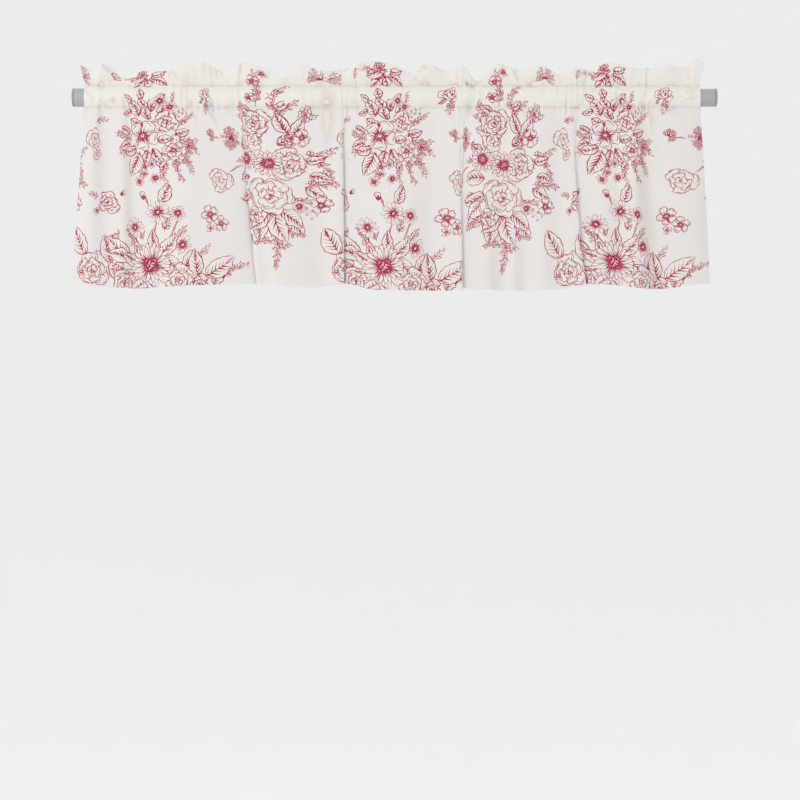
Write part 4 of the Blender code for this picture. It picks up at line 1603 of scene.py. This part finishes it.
def straightened(points: np.ndarray, edges: np.ndarray,
                 tolerance: float) -> tuple[np.ndarray, list[tuple[int, int]]]:
    """Takes out points that lie almost on the line between their two neighbours.

    Args:
        points: Flat points.
        edges: The pairs of them that a line joins.
        tolerance: How far a point may lie off that line.

    Returns:
        The points that are left, and their pairs.
    """
    beside: dict[int, set[int]] = {}
    for a, b in edges.tolist():
        beside.setdefault(a, set()).add(b)
        beside.setdefault(b, set()).add(a)
    places = points.tolist()
    for turn in range(3):
        moved: set[int] = set()
        for here in list(beside):
            if len(beside[here]) != 2 or here in moved:
                continue
            a, b = beside[here]
            if a in moved or b in moved or b in beside[a]:
                continue
            (ax, ay), (bx, by), (x, y) = places[a], places[b], places[here]
            length = math.hypot(bx - ax, by - ay)
            off = abs((bx - ax) * (y - ay) - (by - ay) * (x - ax)) / max(length, 1e-9)
            ahead = (x - ax) * (bx - x) + (y - ay) * (by - y)
            if off < tolerance and ahead > 0:
                beside[a].discard(here)
                beside[b].discard(here)
                beside[a].add(b)
                beside[b].add(a)
                del beside[here]
                moved.update((a, b))
    number = {old: new for new, old in enumerate(beside)}
    pairs = [(number[a], number[b]) for a in beside for b in beside[a] if a < b]
    return points[list(beside)], pairs


def border_loop(triangles: np.ndarray) -> list[int]:
    """The points round the edge of a triangulated sheet.

    Args:
        triangles: The sheet's triangles.

    Returns:
        The edge's points in order, counterclockwise.
    """
    sides = np.vstack([triangles[:, [0, 1]], triangles[:, [1, 2]], triangles[:, [2, 0]]])
    forward = {(int(a), int(b)) for a, b in sides}
    after = {a: b for a, b in forward if (b, a) not in forward}
    start = next(iter(after))
    loop = [start]
    while after[loop[-1]] != start:
        loop.append(after[loop[-1]])
    return loop


@dataclass
class Stitching:
    """The thread of the hem and of the two lines that close the pocket, one small bead for each stitch."""

    shape: ClothShape
    stitch: float = 2.7
    gap: float = 0.9
    thread: float = 0.24
    rise: float = 0.3
    inset: float = 3.0
    hem_line: float = 27.0
    back_inset: float = 2.5

    def lines(self) -> tuple[float, ...]:
        """The flat heights of the stitch lines that show."""
        return (self.hem_line, self.shape.stitch_low, self.shape.stitch_high, self.shape.back_high,
                self.shape.end - self.back_inset)

    def build(self) -> bpy.types.Object:
        """Makes every stitch and joins them in one piece.

        Returns:
            The stitching's object.
        """
        pitch = self.stitch + self.gap
        starts = np.arange(self.inset, self.shape.width - self.inset - pitch, pitch)
        shares = np.array([0.0, 0.25, 0.75, 1.0])
        girths = np.array([0.35, 1.0, 1.0, 0.35]) * self.thread
        lifts = np.array([-0.4, 0.8, 0.8, -0.4]) * self.rise
        points, faces = [], []
        for v in self.lines():
            u = (starts[:, None] + shares[None, :] * self.stitch).ravel()
            hung, normal = self.shape.hang(u, np.full(len(u), v))
            above, _ = self.shape.hang(u, np.full(len(u), v + 0.5))
            up = above - hung
            up /= np.linalg.norm(up, axis=1)[:, None]
            girth = np.tile(girths, len(starts))[:, None]
            middle = hung + normal * np.tile(lifts, len(starts))[:, None]
            ring = np.stack([middle + up * girth, middle + normal * girth, middle - up * girth,
                             middle - normal * girth], axis=1)
            first = sum(len(p) for p in points)
            points.append(ring.reshape(-1, 3))
            for k in range(len(starts)):
                base = first + 16 * k
                for part in range(3):
                    for side in range(4):
                        a, b = base + 4 * part + side, base + 4 * part + (side + 1) % 4
                        faces.append((a, b, b + 4, a + 4))
                faces.append((base + 3, base + 2, base + 1, base))
                faces.append((base + 12, base + 13, base + 14, base + 15))
        mesh = bpy.data.meshes.new("valance_stitching")
        mesh.from_pydata(np.vstack(points) * MM, [], faces)
        mesh.shade_smooth()
        log.info("stitching: %d stitches", len(starts) * len(self.lines()))
        return link("valance_stitching", mesh)


@dataclass
class Rod:
    """The painted rod with its two end caps, in finer pieces than the solids."""

    segments: int = 96
    radius: float = 16.0
    wall: float = 1.2
    cap_width: float = 3.5
    gap: float = 0.3

    def turned(self, name: str, profile: list[tuple[float, float]], closed: bool) -> bpy.types.Object:
        """A piece turned about the X axis.

        Args:
            name: The piece's name.
            profile: Pairs of place along the axis and radius.
            closed: Whether the profile is a closed ring, as a tube's is.

        Returns:
            The piece.
        """
        angles = np.linspace(0, 2 * math.pi, self.segments, endpoint=False)
        rings = [np.stack([np.full(self.segments, x), r * np.cos(angles), r * np.sin(angles)], axis=1)
                 for x, r in profile]
        faces, count = [], len(rings)
        for ring in range(count if closed else count - 1):
            start, after = ring * self.segments, (ring + 1) % count * self.segments
            for k in range(self.segments):
                beside = (k + 1) % self.segments
                faces.append((start + k, start + beside, after + beside, after + k))
        if not closed:
            faces.append(tuple(reversed(range(self.segments))))
            faces.append(tuple(range((count - 1) * self.segments, count * self.segments)))
        mesh = bpy.data.meshes.new(name)
        mesh.from_pydata(np.vstack(rings) * MM, [], faces)
        mesh.shade_smooth()
        mesh.set_sharp_from_angle(angle=math.radians(40))
        return link(name, mesh)

    def build(self) -> list[bpy.types.Object]:
        """Makes the rod and its caps from the solids' boxes, and returns them."""
        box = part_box("rod")
        end = box[1][0] / MM
        bore = self.radius - self.wall
        right = [(end - 0.35, self.radius), (end - 0.1, self.radius - 0.1), (end, self.radius - 0.35),
                 (end, bore)]
        tube = self.turned("rod_tube", [(-x, r) for x, r in reversed(right)] + right, True)
        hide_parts("rod")
        made = [tube]
        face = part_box("rod_cap_right")[1][0] / MM
        for name, side in (("left", -1), ("right", 1)):
            seat, spigot = face - self.cap_width, bore - self.gap
            profile = [(seat - 12.0, spigot - 1.0), (seat - 11.0, spigot), (seat, spigot),
                       (seat, self.radius - 0.25), (seat + 0.25, self.radius)]
            for t in np.linspace(0, math.pi / 2, 6):
                profile.append((face - 1.2 + 1.2 * math.sin(t), self.radius - 1.2 + 1.2 * math.cos(t)))
            profile.append((face, 9.0))
            profile.append((face - 0.25, 8.6))
            if side < 0:
                profile = [(-x, r) for x, r in reversed(profile)]
            cap = self.turned("rod_end_cap_" + name, profile, False)
            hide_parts("rod_cap_" + name)
            made.append(cap)
        return made


@dataclass
class Studio:
    """The camera, the soft lights and the pale surroundings."""

    pixel: float = 1.75
    photo_side: int = 800
    rod_px: tuple[float, float] = (394.6, 97.6)
    distance: float = 4.5
    sensor: float = 36.0
    floor_height: float = -2.1
    room_radius: float = 9.0

    def camera(self) -> None:
        """Sets the camera where the photograph was taken from: level, square on, and below the rod."""
        data = bpy.data.cameras.new("camera")
        data.sensor_width = self.sensor
        data.lens = self.sensor * self.distance / (self.photo_side * self.pixel * MM)
        data.clip_end = 100
        camera = bpy.data.objects.new("camera", data)
        middle = self.photo_side / 2
        camera.location = ((middle - self.rod_px[0]) * self.pixel * MM, -self.distance,
                           (self.rod_px[1] - middle) * self.pixel * MM)
        camera.rotation_euler = (math.pi / 2, 0, 0)
        bpy.context.scene.collection.objects.link(camera)
        bpy.context.scene.camera = camera

    def surroundings(self) -> None:
        """A round pale floor that sweeps up into a wall all round, far from the valance."""
        profile = [(0.01, 0.0), (self.room_radius * 0.6, 0.0)]
        curve = self.room_radius * 0.4
        for t in np.linspace(0, math.pi / 2, 12)[1:]:
            profile.append((self.room_radius * 0.6 + curve * math.sin(t), curve * (1 - math.cos(t))))
        profile.append((self.room_radius, 7.5))
        angles = np.linspace(0, 2 * math.pi, 64, endpoint=False)
        points = [(r * math.cos(a), r * math.sin(a), self.floor_height + z)
                  for r, z in profile for a in angles]
        faces = []
        for ring in range(len(profile) - 1):
            for k in range(64):
                a, b = ring * 64 + k, ring * 64 + (k + 1) % 64
                faces.append((a, b, b + 64, a + 64))
        mesh = bpy.data.meshes.new("studio_floor")
        mesh.from_pydata(points, [], faces)
        mesh.shade_smooth()
        floor = link("studio_floor", mesh)
        mesh.materials.append(BackdropFinish().material())

    def light(self, name: str, place: tuple[float, float, float], size: float, power: float) -> None:
        """Adds a square soft light that faces the valance."""
        data = bpy.data.lights.new(name, "AREA")
        data.size = size
        data.energy = power
        lamp = bpy.data.objects.new(name, data)
        lamp.location = place
        lamp.rotation_euler = (Vector((0, 0, -0.15)) - Vector(place)).to_track_quat("-Z", "Y").to_euler()
        bpy.context.scene.collection.objects.link(lamp)

    def build(self) -> None:
        """Makes the whole studio."""
        self.camera()
        self.surroundings()
        self.light("key_left", (-3.4, -3.4, 1.6), 2.2, 80)
        self.light("fill_right", (3.6, -3.4, 1.0), 3.0, 20)
        self.light("back_soft", (0.5, 3.4, 3.2), 3.0, 60)
        world = bpy.data.worlds.new("pale_room")
        world.use_nodes = True
        world.node_tree.nodes["Background"].inputs["Color"].default_value = (1.0, 1.0, 1.0, 1.0)
        world.node_tree.nodes["Background"].inputs["Strength"].default_value = 0.84
        scene = bpy.context.scene
        scene.world = world
        scene.view_settings.view_transform = "Standard"


def main() -> None:
    """Builds every piece in order and reports it."""
    logging.basicConfig(level=logging.INFO, format="%(message)s")
    Studio().build()
    shape = ClothShape()
    drawing = FloralPrint(shape).draw()
    log.info("print: %d marks", len(drawing.polygons))
    valance = Valance(shape)
    cloth = valance.build(drawing)
    cloth.data.materials.append(ClothFinish().material(shape))
    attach(cloth, "root")
    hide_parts("valance_cloth")
    stitching = Stitching(shape, hem_line=valance.hem_depth).build()
    stitching.data.materials.append(ThreadFinish().material())
    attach(stitching, "root")
    rod, *caps = Rod().build()
    rod.data.materials.append(PaintFinish().material())
    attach(rod, "root")
    plastic = PlasticFinish().material()
    for cap in caps:
        cap.data.materials.append(plastic)
        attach(cap, "root")
    log.info("rod and %d caps", len(caps))


if __name__ == "__main__":
    main()
